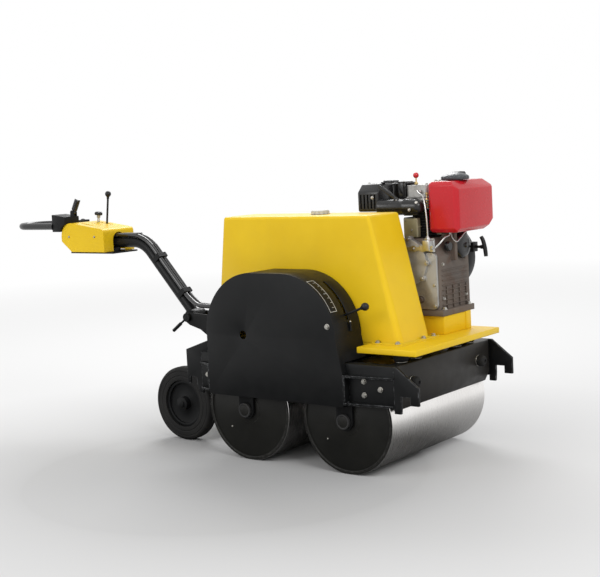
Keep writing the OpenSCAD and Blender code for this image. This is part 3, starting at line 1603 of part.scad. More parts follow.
module tyre(s) color(rubber) row_frame() mirror([0, s < 0 ? 1 : 0, 0])
  translate([-wheel_x, wheel_in + wheel_w / 2, wheel_r]) rotate([90, 0, 0])
    rotate_extrude() difference() {
      round_rect([rim_r, -wheel_w / 2], [wheel_r, wheel_w / 2], wheel_w / 6);
      square([2 * rim_r - over, wheel_w], center = true);
    }

module rim(s) color(black) row_frame() mirror([0, s < 0 ? 1 : 0, 0])
  difference() {
    union() {
      cyl_y(rim_r - weld_gap, wheel_in + wheel_w / 6, wheel_in + 5 * wheel_w / 6, -wheel_x, wheel_r);
      cyl_y(hub_r, wheel_in, wheel_in + wheel_w, -wheel_x, wheel_r);
    }
    difference() {
      cyl_y(rim_r - disc_t, wheel_in + wheel_w / 2 + disc_t / 2, wheel_in + wheel_w, -wheel_x, wheel_r);
      cyl_y(hub_r, wheel_in, wheel_in + wheel_w, -wheel_x, wheel_r);
    }
    difference() {
      cyl_y(rim_r - disc_t, wheel_in, wheel_in + wheel_w / 2 - disc_t / 2, -wheel_x, wheel_r);
      cyl_y(hub_r, wheel_in, wheel_in + wheel_w, -wheel_x, wheel_r);
    }
    cyl_y(axle_d / 2 + run_fit, wheel_in - over, wheel_in + wheel_w + over, -wheel_x, wheel_r);
  }

module right_wheel_tyre() tyre(-1);
module right_wheel_rim() rim(-1);
module left_wheel_tyre() tyre(1);
module left_wheel_rim() rim(1);

main_frame();
end_plates();
hook_brackets();
rubber_mounts();
deck();
hood();
water_tank();
water_cap();
right_cover();
left_cover();
frame_bolts();
speed_lever();
front_drum_shell();
front_drum_core();
front_drum_sprocket();
rear_drum_shell();
rear_drum_core();
rear_drum_sprocket();
bearing_housings();
travel_motor();
motor_sprocket();
drive_chain();
exciter_housing();
exciter_shaft();
exciter_pulley();
drive_belts();
jackshaft();
hydraulic_pump();
engine_pedestal();
crankcase();
crankcase_cover();
cylinder_barrel();  // cylinder
cylinder_head();
rocker_cover();
muffler();
air_cleaner();
fuel_tank();
fuel_cap();
fan_housing();
recoil_handle();
crankshaft();
pto_pulley();
fuel_system();
decompression_lever();
handle_bracket();
handle_arm();
handle_hoses();
frame_hoses();
lock_lever();
console_shell();
console_frame();
loop_handle();
throttle_lever();
star_knob();
travel_lever();
wheel_bracket();
right_wheel_tyre();
right_wheel_rim();
left_wheel_tyre();
left_wheel_rim();
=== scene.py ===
import json
import math

import bmesh
import bpy
from mathutils import Matrix, Vector


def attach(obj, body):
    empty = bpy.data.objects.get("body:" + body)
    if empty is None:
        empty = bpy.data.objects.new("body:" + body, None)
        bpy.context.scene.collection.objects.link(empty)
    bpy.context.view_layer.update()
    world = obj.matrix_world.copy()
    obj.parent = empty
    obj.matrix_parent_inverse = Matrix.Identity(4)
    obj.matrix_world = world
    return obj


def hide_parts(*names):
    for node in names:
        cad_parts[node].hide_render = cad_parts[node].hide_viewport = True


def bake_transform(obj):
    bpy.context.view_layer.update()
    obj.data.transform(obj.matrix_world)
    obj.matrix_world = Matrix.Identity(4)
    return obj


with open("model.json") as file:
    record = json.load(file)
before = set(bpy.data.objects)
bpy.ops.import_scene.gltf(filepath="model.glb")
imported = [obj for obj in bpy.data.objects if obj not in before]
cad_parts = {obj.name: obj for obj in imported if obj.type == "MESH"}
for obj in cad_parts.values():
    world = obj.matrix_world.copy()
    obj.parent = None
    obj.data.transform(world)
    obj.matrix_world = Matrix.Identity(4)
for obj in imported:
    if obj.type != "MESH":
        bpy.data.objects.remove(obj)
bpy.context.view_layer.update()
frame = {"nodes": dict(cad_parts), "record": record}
nodes = frame["nodes"]
slotOf = {s["node"]: s["material_slot"] for s in frame["record"]["subparts"]}
bodyOf = {n: b for b, members in frame["record"]["behaviour"]["bodies"].items() for n in members}
print("frame loaded:", len(nodes), "nodes")


def linkObject(name, data):
    obj = bpy.data.objects.new(name, data)
    bpy.context.collection.objects.link(obj)
    return obj


# Camera
cameraSet = {"place": (3.678, -4.025, 1.230), "yaw": 38.35, "pitch": 4.73, "roll": -2.87, "lens": 71.8,
    "shiftY": -0.0503, "sensor": 36}


def makeCamera(s):
    yaw, pitch, roll = (math.radians(s[k]) for k in ("yaw", "pitch", "roll"))
    ahead = Vector((-math.sin(yaw) * math.cos(pitch), math.cos(yaw) * math.cos(pitch), -math.sin(pitch)))
    side = ahead.cross(Vector((0, 0, 1))).normalized()
    top = side.cross(ahead)
    side, top = side * math.cos(roll) + top * math.sin(roll), top * math.cos(roll) - side * math.sin(roll)
    data = bpy.data.cameras.new("photoCamera")
    data.sensor_width = s["sensor"]
    data.lens = s["lens"]
    data.shift_y = s["shiftY"]
    cam = linkObject("photoCamera", data)
    cam.matrix_world = Matrix.Translation(s["place"]) @ Matrix((side, top, -ahead)).transposed().to_4x4()
    bpy.context.scene.camera = cam


makeCamera(cameraSet)


# Adds a node, fills its inputs with values or with links, and gives back one of its outputs
def added(tree, kind, inputs=(), result=0, **settings):
    node = tree.nodes.new(kind)
    for key, value in settings.items():
        setattr(node, key, value)
    fill(tree, node, dict(inputs))
    return node.outputs[result]


def fill(tree, node, inputs):
    for key, value in inputs.items():
        if isinstance(value, bpy.types.NodeSocket):
            tree.links.new(value, node.inputs[key])
        else:
            node.inputs[key].default_value = value


def noiseOf(tree, coords, scale, detail=3.0, rough=0.55):
    return added(tree, "ShaderNodeTexNoise", {"Vector": coords, "Scale": scale, "Detail": detail,
        "Roughness": rough}, "Fac")


def spanOf(tree, value, low, high, toLow=0.0, toHigh=1.0):
    return added(tree, "ShaderNodeMapRange", {"Value": value, "From Min": low, "From Max": high,
        "To Min": toLow, "To Max": toHigh}, "Result")


def mixOf(tree, fac, a, b):
    return added(tree, "ShaderNodeMix", {"Factor": fac, "A": a, "B": b}, "Result", data_type="RGBA")


def mathOf(tree, operation, a, b):
    return added(tree, "ShaderNodeMath", {0: a, 1: b}, operation=operation)


def rgba(colour):
    return (*colour, 1.0)


def newMaterial(name):
    mat = bpy.data.materials.new(name)
    mat.use_nodes = True
    return mat, mat.node_tree, mat.node_tree.nodes["Principled BSDF"]


# What a finish has unless its own entry says otherwise; scales are per metre, edge and depth in metres
plainLook = {"toneScale": 5.0, "roughScale": 20.0, "roughSpread": 0.05, "dustScale": 9.0, "edge": 0.002,
    "metal": 0.0, "coatRough": 0.12, "bump": 0.15, "bumpScale": 140.0, "bumpDepth": 0.0006}


# One finish: a base colour drifting between two tones, dust or grime in patches, lightened edges, and fine
# bump
def makeFinish(name, own):
    look = {**plainLook, **own}
    mat, tree, shader = newMaterial(name)
    coords = grain = added(tree, "ShaderNodeTexCoord", result="Object")
    if "stretch" in look:
        grain = added(tree, "ShaderNodeMapping", {"Vector": coords, "Scale": look["stretch"]}, "Vector")

    def patches(source, scale, detail, rough, low, high, most):
        return spanOf(tree, noiseOf(tree, source, scale, detail, rough), low, high, 0.0, most)

    tone = patches(coords, look["toneScale"], 4.0, 0.55, 0.35, 0.65, 1.0)
    colour = mixOf(tree, tone, rgba(look["colour"]), rgba(look["colour2"]))
    if "grainTone" in look:
        fine = patches(grain, look["grainScale"], 5.0, 0.65, 0.3, 0.7, look["grainTone"])
        colour = mixOf(tree, fine, colour, rgba(look["grainColour"]))
    rim = added(tree, "ShaderNodeBevel", {"Radius": look["edge"]}, "Normal", samples=4)
    # lightened edges: worn paint on most finishes; on the hook brackets' finish they are a painted highlight
    # along the bevels
    if "wear" in look:
        face = added(tree, "ShaderNodeNewGeometry", result="Normal")
        dot = added(tree, "ShaderNodeVectorMath", {0: face, 1: rim}, "Value", operation="DOT_PRODUCT")
        patch = patches(coords, 60.0, 4.0, 0.7, 0.45, 0.6, look["wear"])
        wornAndSheen = mathOf(tree, "MULTIPLY", spanOf(tree, dot, 0.995, 0.93), patch)
        colour = mixOf(tree, wornAndSheen, colour, rgba(look["wearColour"]))
    if "dust" in look:
        patch = patches(coords, look["dustScale"], 6.0, 0.7, 0.48, 0.75, look["dust"])
        colour = mixOf(tree, patch, colour, rgba(look["dustColour"]))
    rough = spanOf(tree, noiseOf(tree, grain, look["roughScale"], 4.0), 0.3, 0.7,
        look["rough"] - look["roughSpread"], look["rough"] + look["roughSpread"])
    bump = added(tree, "ShaderNodeBump", {"Strength": look["bump"], "Distance": look["bumpDepth"],
        "Normal": rim, "Height": noiseOf(tree, grain, look["bumpScale"])}, "Normal")
    fill(tree, shader, {"Base Color": colour, "Roughness": rough, "Normal": bump, "Metallic": look["metal"]})
    if "coat" in look:
        fill(tree, shader, {"Coat Weight": look["coat"], "Coat Roughness": look["coatRough"]})
    if "specular" in look:
        fill(tree, shader, {"Specular IOR Level": look["specular"]})
    return mat


# Two tones, the roughness and the strength of the bump, and what else differs from the plain look
def finishOf(colour, colour2, rough, bump, **more):
    return {"colour": colour, "colour2": colour2, "rough": rough, "bump": bump, **more}


blackPaint = finishOf((0.0062, 0.0066, 0.007), (0.0088, 0.0092, 0.0096), 0.40, 0.12, roughSpread=0.07,
    bumpScale=90.0, edge=0.002, wear=0.4, wearColour=(0.06, 0.06, 0.058), dust=0.14,
    dustColour=(0.022, 0.021, 0.02), specular=0.16)
looks = {
    "frame_black": blackPaint,
    "plate_grey_black": dict(blackPaint, colour=(0.018, 0.0165, 0.015), colour2=(0.024, 0.022, 0.0195),
        dust=0.3, dustColour=(0.04, 0.036, 0.031), specular=0.2),
    "drum_black": dict(blackPaint, colour=(0.010, 0.010, 0.009), colour2=(0.014, 0.0138, 0.012), dust=0.2,
        dustColour=(0.026, 0.025, 0.022), wear=0.5, wearColour=(0.16, 0.155, 0.145), specular=0.2),
    # hook brackets: edges lightened strongly in a bluish white, a painted highlight along their bevels
    "hook_black": dict(blackPaint, wear=0.9, wearColour=(0.22, 0.225, 0.235), edge=0.0035),
    "yellow_paint": finishOf((0.80, 0.52, 0.010), (0.84, 0.56, 0.015), 0.36, 0.08, roughSpread=0.05,
        bumpScale=60.0, edge=0.003, wear=0.25, wearColour=(0.62, 0.45, 0.08), dust=0.12,
        dustColour=(0.66, 0.45, 0.05), specular=0.22),
    "drum_steel": finishOf((0.86, 0.84, 0.82), (0.92, 0.905, 0.89), 0.27, 0.1, metal=1.0, roughSpread=0.06,
        stretch=(1.0, 60.0, 1.0), grainScale=6.0, grainTone=0.35, grainColour=(0.72, 0.70, 0.68),
        bumpScale=10.0, edge=0.0015),
    "bright_steel": finishOf((0.50, 0.50, 0.49), (0.58, 0.58, 0.57), 0.35, 0.1, metal=1.0, roughSpread=0.08,
        dust=0.3, dustColour=(0.25, 0.23, 0.2)),
    "zinc_bolt": finishOf((0.40, 0.39, 0.36), (0.50, 0.48, 0.44), 0.38, 0.12, metal=1.0, edge=0.0012),
    "engine_alloy": finishOf((0.33, 0.325, 0.31), (0.43, 0.425, 0.41), 0.52, 0.5, metal=0.6, roughSpread=0.1,
        bumpScale=220.0, bumpDepth=0.0009, edge=0.0025, dust=0.65, dustColour=(0.075, 0.062, 0.05),
        dustScale=14.0),
    "engine_foot": finishOf((0.12, 0.10, 0.085), (0.17, 0.13, 0.10), 0.65, 0.6, metal=0.3, roughSpread=0.1,
        bumpScale=180.0, bumpDepth=0.001, edge=0.0025, dust=0.7, dustColour=(0.10, 0.045, 0.025),
        dustScale=18.0),
    "cast_dark": finishOf((0.018, 0.018, 0.019), (0.030, 0.030, 0.030), 0.55, 0.5, bumpScale=200.0,
        bumpDepth=0.0009, edge=0.002, dust=0.3, dustColour=(0.06, 0.054, 0.046), specular=0.25),
    "olive_zinc": finishOf((0.34, 0.31, 0.19), (0.42, 0.38, 0.24), 0.42, 0.2, metal=0.25, edge=0.002,
        dust=0.3, dustColour=(0.10, 0.09, 0.06)),
    "muffler_black": finishOf((0.008, 0.008, 0.0085), (0.012, 0.012, 0.0125), 0.26, 0.15, roughSpread=0.06,
        edge=0.003, wear=0.3, wearColour=(0.05, 0.05, 0.05), specular=0.45),
    "tank_red": finishOf((0.50, 0.006, 0.014), (0.55, 0.009, 0.018), 0.26, 0.05, roughSpread=0.04,
        bumpScale=40.0, edge=0.004, coat=0.12, coatRough=0.1, specular=0.35),
    "cap_grey": finishOf((0.045, 0.05, 0.055), (0.06, 0.066, 0.072), 0.34, 0.15, bumpScale=260.0,
        specular=0.4),
    "knob_red": finishOf((0.55, 0.012, 0.02), (0.62, 0.02, 0.03), 0.25, 0.05),
    "brass": finishOf((0.62, 0.46, 0.20), (0.70, 0.54, 0.26), 0.32, 0.1, metal=1.0),
    "black_plastic": finishOf((0.008, 0.008, 0.0085), (0.013, 0.013, 0.0135), 0.38, 0.2, bumpScale=300.0,
        edge=0.002, specular=0.3),
    "grip_black": finishOf((0.006, 0.006, 0.0065), (0.010, 0.010, 0.0105), 0.26, 0.12, bumpScale=250.0,
        specular=0.55),
    "rubber_black": finishOf((0.011, 0.011, 0.011), (0.018, 0.0175, 0.017), 0.7, 0.3, bumpScale=180.0,
        edge=0.002, dust=0.3, dustColour=(0.035, 0.033, 0.03), specular=0.2),
    "hose_black": finishOf((0.006, 0.006, 0.0065), (0.010, 0.010, 0.0105), 0.16, 0.1, bumpScale=120.0,
        coat=0.5, coatRough=0.08, specular=0.5),
    "tyre_black": finishOf((0.010, 0.010, 0.0098), (0.017, 0.0165, 0.016), 0.66, 0.35, bumpScale=160.0,
        edge=0.002, dust=0.35, dustColour=(0.032, 0.030, 0.027), specular=0.2),
    "tank_plastic": finishOf((0.55, 0.55, 0.52), (0.62, 0.62, 0.59), 0.5, 0.2),
}
finishes = {name: makeFinish(name, look) for name, look in looks.items()}
print("finishes made:", len(finishes))


def dress(obj, slot):
    obj.data.materials.clear()
    obj.data.materials.append(finishes[slot])


for nodeName, obj in nodes.items():
    dress(obj, slotOf[nodeName])

# Shaping helpers. Machine lengths are in millimetres, counted from the middle between the drums
originX = 0.711
forward, rearward, leftward, rightward, upward = (1, 0, 0), (-1, 0, 0), (0, 1, 0), (0, -1, 0), (0, 0, 1)


# A place on the machine, in millimetres, as a place in the scene, in metres
def at(x, y, z):
    return Vector((x / 1000 + originX, y / 1000, z / 1000))


# The direction in the machine's long upright plane that rises by an angle from straight ahead
def rising(degrees):
    a = math.radians(degrees)
    return Vector((math.cos(a), 0, math.sin(a)))


# Places on an upright circle that faces sideways, at the given angles in degrees
def around(x, y, z, radius, angles):
    return [at(x, y, z) + rising(a) * (radius / 1000) for a in angles]


def newObject(name, bm):
    mesh = bpy.data.meshes.new(name)
    bm.to_mesh(mesh)
    bm.free()
    return linkObject(name, mesh)


def smoothSharp(obj, angle=38.0):
    mesh = obj.data
    mesh.polygons.foreach_set("use_smooth", [True] * len(mesh.polygons))
    mesh.set_sharp_from_angle(angle=math.radians(angle))


def roundEdges(bm, edges, width, segments, clamp=True):
    bmesh.ops.bevel(bm, geom=edges, offset=width, offset_type="OFFSET", segments=segments, profile=0.5,
        affect="EDGES", clamp_overlap=clamp)


def finishPiece(obj, slot, body, *replaced):
    dress(obj, slot)
    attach(obj, body)
    if replaced:
        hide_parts(*replaced)
    return obj


# The mesh of a CAD node with its loose triangles joined at their corners
def nodeMesh(nodeName):
    bm = bmesh.new()
    bm.from_mesh(nodes[nodeName].data)
    bmesh.ops.remove_doubles(bm, verts=bm.verts, dist=2e-5)
    return bm


# A copy of a CAD node with its flats cleaned and its sharp edges rounded
def softNode(nodeName, width=0.0015, segments=2, angle=28.0, smooth=38.0):
    bm = nodeMesh(nodeName)
    bmesh.ops.dissolve_limit(bm, angle_limit=math.radians(0.6), verts=bm.verts, edges=bm.edges)
    edges = [e for e in bm.edges if len(e.link_faces) == 2 and e.calc_face_angle(0) > math.radians(angle)]
    if edges and width > 0:
        roundEdges(bm, edges, width, segments)
    bmesh.ops.triangulate(bm, faces=[f for f in bm.faces if len(f.verts) > 4])
    obj = newObject("soft_" + nodeName, bm)
    smoothSharp(obj, smooth)
    return finishPiece(obj, slotOf[nodeName], bodyOf[nodeName], nodeName)


# Joins rings of vertices, each to the next, into one skin; a ring of one vertex closes it to a point
def skin(bm, rings, capped=False):
    made = []
    for low, high in zip(rings, rings[1:]):
        count = max(len(low), len(high))
        for i in range(count if count > 1 else 0):
            j = (i + 1) % count
            corners = (low[i % len(low)], low[j % len(low)], high[j % len(high)], high[i % len(high)])
            made.append(bm.faces.new(list(dict.fromkeys(corners))))
    if capped:
        bm.faces.new(list(reversed(rings[0])))
        bm.faces.new(rings[-1])
    return made


# A ring of vertices in the plane of two directions; the radius, in metres, may be a function of the angle
def ringOf(bm, centre, side, third, radius, steps):
    ring = []
    for i in range(steps):
        t = 2 * math.pi * i / steps
        r = radius(t) if callable(radius) else radius
        ring.append(bm.verts.new(centre + side * (r * math.cos(t)) + third * (r * math.sin(t))))
    return ring


# A surface turned round an axis through centre: profile points are (along the axis, radius) in millimetres
def lathe(bm, profile, centre, axis, steps=48):
    axis = Vector(axis).normalized()
    side = axis.orthogonal().normalized()
    third = axis.cross(side)
    rings = []
    for along, radius in profile:
        middle = centre + axis * (along / 1000)
        rings.append(ringOf(bm, middle, side, third, radius / 1000, steps)
            if radius > 0 else [bm.verts.new(middle)])
    return skin(bm, rings)


# A ring that closes on itself, so that it has no open edge
def closedRing(bm, profile, centre, axis, steps=96):
    fresh = lathe(bm, list(profile) + [profile[0]], centre, axis, steps)
    bmesh.ops.remove_doubles(bm, verts=list({v for f in fresh for v in f.verts}), dist=1e-6)


# The hub of a lever, a ring with chamfered edges
def hubRing(bm, centre, half, bore, outer, chamfer, steps):
    closedRing(bm, ((-half, bore), (-half, outer - chamfer), (-half + chamfer, outer),
        (half - chamfer, outer), (half, outer - chamfer), (half, bore)), centre, leftward, steps)


# A smooth line through points, with some points more on each span
def splinePath(points, perSpan=8):
    p = [Vector(q) for q in points]
    p = [p[0] * 2 - p[1]] + p + [p[-1] * 2 - p[-2]]
    path = []
    for before, here, there, after in zip(p, p[1:], p[2:], p[3:]):
        for k in range(perSpan):
            t = k / perSpan
            path.append(0.5 * (2 * here + (there - before) * t
                + (2 * before - 5 * here + 4 * there - after) * t ** 2
                + (3 * here - before - 3 * there + after) * t ** 3))
    return path + [p[-2]]


# A round bar along a path, in metres; the radius is one value or one for each point
def tube(bm, path, radius, steps=16):
    radii = radius if isinstance(radius, list) else [radius] * len(path)
    normal = Vector(leftward)
    rings = []
    for i, p in enumerate(path):
        ahead = (path[min(i + 1, len(path) - 1)] - path[max(i - 1, 0)]).normalized()
        if i == 0 and abs(ahead.y) > 0.9:
            normal = ahead.orthogonal()
        normal = (normal - ahead * normal.dot(ahead)).normalized()
        rings.append(ringOf(bm, p, normal, ahead.cross(normal), radii[i], steps))
    skin(bm, rings, True)


def softBox(bm, lo, hi, radius=0.002, segments=2):
    made = bmesh.ops.create_cube(bm, size=1.0)["verts"]
    for v in made:
        v.co = Vector([(lo[i] + hi[i]) / 2 + v.co[i] * (hi[i] - lo[i]) for i in range(3)])
    roundEdges(bm, list({e for v in made for e in v.link_edges}), radius, segments, False)


# Wraps places in one convex form with rounded edges
def roundedHull(bm, points, width, segments=5):
    fresh = [bm.verts.new(p) for p in points]
    made = bmesh.ops.convex_hull(bm, input=fresh)
    spare = list({e for e in made["geom_interior"] + made["geom_unused"]
        if isinstance(e, bmesh.types.BMVert)})
    bmesh.ops.delete(bm, geom=spare, context="VERTS")

    def liveEdges():
        return list({e for v in fresh if v.is_valid for e in v.link_edges})

    bmesh.ops.dissolve_limit(bm, angle_limit=math.radians(3), verts=[v for v in fresh if v.is_valid],
        edges=liveEdges())
    roundEdges(bm, [e for e in liveEdges() if e.calc_face_angle(0) > math.radians(12)], width, segments)


def makePiece(name, bm, slot, body, *replaced, look=None, smooth=38.0):
    bmesh.ops.recalc_face_normals(bm, faces=bm.faces)
    obj = newObject(name, bm)
    smoothSharp(obj, smooth)
    finishPiece(obj, slot, body, *replaced)
    if look:
        dress(obj, look)
    return obj


# Sheet metal, frame and castings, each with the width of its rounded edges
softEdges = {"main_frame": 0.0016, "end_plates": 0.002, "hook_brackets": 0.0016, "deck": 0.003,
    "right_cover": 0.0012, "left_cover": 0.0012, "handle_bracket": 0.0018, "wheel_bracket": 0.0018,
    "engine_pedestal": 0.002, "console_frame": 0.0014, "bearing_housings": 0.0015, "crankcase": 0.003,
    "crankcase_cover": 0.0025, "cylinder": 0.0007, "cylinder_head": 0.001, "hydraulic_pump": 0.002,
    "travel_motor": 0.002, "lock_lever": 0.0012, "front_drum_core": 0.0015, "rear_drum_core": 0.0015}
for nodeName, width in softEdges.items():
    softNode(nodeName, width)
dress(bpy.data.objects["soft_crankcase"], "engine_foot")
dress(bpy.data.objects["soft_hook_brackets"], "hook_black")
bodywork = (softNode("hood", 0.0, smooth=50.0), softNode("console_shell", 0.014, 5, 40.0, smooth=50.0))
for obj in bodywork:
    obj.modifiers.new("flatSides", "WEIGHTED_NORMAL").keep_sharp = True
print("sheet metal rounded")


# An empty geometry tree with named inputs, its input sockets and its output node's inputs
def newTree(name, sockets):
    tree = bpy.data.node_groups.new(name, "GeometryNodeTree")
    for label, kind in {"Geometry": "Geometry", **sockets}.items():
        tree.interface.new_socket(label, in_out="INPUT", socket_type="NodeSocket" + kind)
    tree.interface.new_socket("Geometry", in_out="OUTPUT", socket_type="NodeSocketGeometry")
    return tree, tree.nodes.new("NodeGroupInput").outputs, tree.nodes.new("NodeGroupOutput").inputs


# Ends a tree by giving its geometry a finish
def endTree(tree, geometry, material, out):
    tree.links.new(added(tree, "GeometryNodeSetMaterial", {"Geometry": geometry, "Material": material}),
        out[0])
    return tree


# Runs a tree on a host object, which the finished mesh takes the place of; inputs are set by identifier
def fromTree(name, host, group, values, smooth):
    mod = host.modifiers.new("tree", "NODES")
    mod.node_group = group
    for item in group.interface.items_tree:
        if item.in_out == "INPUT" and item.name in values:
            mod[item.identifier] = values[item.name]
    made = bpy.data.meshes.new_from_object(host.evaluated_get(bpy.context.evaluated_depsgraph_get()))
    bpy.data.objects.remove(host)
    obj = linkObject(name, made)
    smoothSharp(obj, smooth)
    return obj


# Bolts: a washer, a six-sided head and the stud's end, sizes in metres by the names of the tree's inputs
boltSet = {"Head Radius": 0.0090, "Head Height": 0.0062, "Washer Radius": 0.0112, "Washer Height": 0.0020,
    "Stud Radius": 0.0050, "Stud Height": 0.0012}


def boltTree(material):
    tree, given, out = newTree("boltHeads", dict.fromkeys(boltSet, "Float"))

    def disc(sides, part, below):
        depth = given[part + " Height"]
        lift = mathOf(tree, "MULTIPLY", depth, 0.5)
        for other in below:
            lift = mathOf(tree, "ADD", lift, given[other + " Height"])
        shape = added(tree, "GeometryNodeMeshCylinder",
            {"Vertices": sides, "Radius": given[part + " Radius"], "Depth": depth}, "Mesh")
        place = added(tree, "ShaderNodeCombineXYZ", {"Z": lift})
        return added(tree, "GeometryNodeTransform", {"Geometry": shape, "Translation": place})

    join = tree.nodes.new("GeometryNodeJoinGeometry")
    for sides, part, below in ((20, "Washer", ()), (6, "Head", ("Washer",)),
            (12, "Stud", ("Washer", "Head"))):
        tree.links.new(disc(sides, part, below), join.inputs[0])

    def stored(name, kind):
        return added(tree, "GeometryNodeInputNamedAttribute", {"Name": name}, "Attribute", data_type=kind)

    turn = added(tree, "FunctionNodeAlignRotationToVector", {"Vector": stored("aim", "FLOAT_VECTOR")},
        axis="Z")
    put = added(tree, "GeometryNodeInstanceOnPoints", {"Points": given["Geometry"],
        "Instance": join.outputs[0], "Rotation": turn, "Scale": stored("size", "FLOAT")})
    return endTree(tree, added(tree, "GeometryNodeRealizeInstances", {"Geometry": put}), material, out)


boltGroup = boltTree(finishes["zinc_bolt"])


# spots are (point, direction the head faces, size against the standard head)
def boltsAt(name, spots, body, *replaced):
    mesh = bpy.data.meshes.new(name + "Points")
    mesh.from_pydata([tuple(p) for p, way, size in spots], [], [])
    mesh.attributes.new("aim", "FLOAT_VECTOR", "POINT")
    mesh.attributes.new("size", "FLOAT", "POINT")
    for i, (p, way, size) in enumerate(spots):
        mesh.attributes["aim"].data[i].vector = Vector(way).normalized()
        mesh.attributes["size"].data[i].value = size
    obj = fromTree(name, linkObject(name + "Host", mesh), boltGroup, boltSet, 30.0)
    return finishPiece(obj, "zinc_bolt", body, *replaced)


# Centre and size of each loose solid of a node
def solidsOf(nodeName):
    bm = nodeMesh(nodeName)
    seen, found = set(), []
    for start in bm.verts:
        if start in seen:
            continue
        group, todo = [], [start]
        seen.add(start)
        while todo:
            here = todo.pop()
            group.append(here.co)
            for other in (e.other_vert(here) for e in here.link_edges):
                if other not in seen:
                    seen.add(other)
                    todo.append(other)
        lo, hi = (Vector([pick(c[i] for c in group) for i in range(3)]) for pick in (min, max))
        found.append(((lo + hi) / 2, hi - lo))
    bm.free()
    return found


def frameBolts():
    spots = []
    for centre, size in solidsOf("frame_bolts"):
        thin = min(range(3), key=lambda i: size[i])
        way = Vector((0, 0, 0))
        way[thin] = -1.0 if thin == 1 and centre.y <= 0 else 1.0
        spots.append((centre - way * size[thin] / 2, way, 1.0))
    boltsAt("frameBolts", spots, "chassis", "frame_bolts")


frameBolts()
print("frame bolts placed")


# Drums: bright rolled shells with black painted rims, a weld round each end disc, and flat plugs in the discs
drumSet = {"axle": 250.0, "height": 212.5, "radius": 212.5, "inner": 200.5, "half": 350.0, "paint": 0.9,
    "edge": 1.4, "weld": 3.6, "weldLift": 0.6, "weldSink": 0.4, "weldFlat": 0.9, "ripple": 0.0004,
    "ripples": 70, "webFace": 347.0, "plugRing": 128.0, "plugAngles": (40, 220), "plugSize": 0.36}


def makeDrums(s):
    for nodeStart, way in (("front_drum", 1), ("rear_drum", -1)):
        centre = at(way * s["axle"], 0, s["height"])
        r, inner, half, bright = s["radius"], s["inner"], s["half"], s["half"] - s["paint"]
        chamfered = r - s["edge"]
        bm = bmesh.new()
        closedRing(bm, ((-bright, chamfered), (-bright + 1, r), (bright - 1, r), (bright, chamfered),
            (bright, inner), (-bright, inner)), centre, leftward, 160)
        makePiece(nodeStart + "Steel", bm, "drum_steel", nodeStart, nodeStart + "_shell")
        bm = bmesh.new()
        for side in (-1, 1):
            closedRing(bm, [(side * along, radius) for along, radius in ((bright, inner),
                (bright, chamfered), (half - 0.3, chamfered - 0.2), (half, chamfered - 1.2),
                (half, inner + 0.8), (half - 0.5, inner))], centre, leftward, 128)
            w, face, foot = s["weld"], side * (s["webFace"] + s["weldLift"]), inner - s["weldSink"]
            bead = [(face + w * math.cos(a), foot + w * math.sin(a) * s["weldFlat"])
                for a in (2 * math.pi * i / 10 for i in range(10))]
            first = len(bm.verts)
            closedRing(bm, bead, centre, leftward, 240)
            bm.verts.ensure_lookup_table()
            for v in bm.verts[first:]:
                angle = math.atan2(v.co.z - centre.z, v.co.x - centre.x)
                v.co.y += s["ripple"] * math.sin(angle * s["ripples"])
        makePiece(nodeStart + "Rims", bm, "drum_black", nodeStart)
        boltsAt(nodeStart + "Plugs", [(p, (0, side, 0), s["plugSize"]) for side in (-1, 1)
            for p in around(way * s["axle"], side * s["webFace"], s["height"], s["plugRing"],
            s["plugAngles"])], nodeStart)


# Support wheels: solid tyres with rounded shoulders and two moulded rings on each side
wheelSet = {"x": -757.0, "z": 165.0, "mid": 187.0, "rim": 105.0, "radius": 165.0, "half": 30.0}


def makeTyres(s):
    h, r = s["half"], s["radius"]
    half = [(h - 1, s["rim"] + 0.2), (h, s["rim"] + 5), (h, 121), (h - 1.6, 123), (h - 1.6, 126), (h, 128),
        (h, 143), (h - 1.6, 145), (h - 1.6, 147), (h, 149), (h - 0.6, 155), (h - 4, 160.5), (h - 10, 164),
        (h - 18, r)]
    profile = [(-a, q) for a, q in half] + [(a, q) for a, q in reversed(half)]
    for side, name in ((-1, "right_wheel"), (1, "left_wheel")):
        bm = bmesh.new()
        closedRing(bm, profile, at(s["x"], side * s["mid"], s["z"]), leftward, 128)
        makePiece(name + "Tyre", bm, "tyre_black", name, name + "_tyre", smooth=30.0)
        softNode(name + "_rim", 0.0015)


# Rubber mounts under the deck and the two bump stops, with their steel washers
mountSet = {"low": 440.0, "high": 475.0, "washer": 3.0, "stopX": 493.9, "stopLong": 34.0, "stopZ": 366.0,
    "stopY": 251.0}


def makeMounts(s):
    spots = [(x, y) for x in (-448, -80, 80, 448) for y in (-150, 150)] + [(448, -250), (448, 250)]
    rubber, steel = bmesh.new(), bmesh.new()
    low, tall, w = s["low"], s["high"] - s["low"], s["washer"]
    for x, y in spots:
        lathe(rubber, ((w, 0), (w, 24), (w + 2.5, 27.5), (w + 7, 29.6), (tall / 2, 30), (tall - w - 7, 29.6),
            (tall - w - 2.5, 27.5), (tall - w, 24), (tall - w, 0)), at(x, y, low), upward)
        for z in (0, tall - w):
            lathe(steel, ((z, 0), (z, 25), (z + 0.6, 26), (z + w - 0.6, 26), (z + w, 25), (z + w, 0)),
                at(x, y, low), upward)
    long = s["stopLong"]
    for side in (-1, 1):
        centre = at(s["stopX"], side * s["stopY"], s["stopZ"])
        lathe(rubber, ((3, 0), (3, 21.5), (6, 22.8), (20, 22.6), (27, 21), (31.5, 17), (long, 10), (long, 7),
            (long - 9, 6), (long - 9, 0)), centre, forward, 40)
        lathe(steel, ((0, 0), (0, 22.4), (0.6, 23), (2.6, 23), (3.2, 22.4), (3.2, 0)), centre, forward, 40)
    makePiece("mountRubber", rubber, "rubber_black", "chassis", "rubber_mounts")
    makePiece("mountWashers", steel, "zinc_bolt", "chassis")


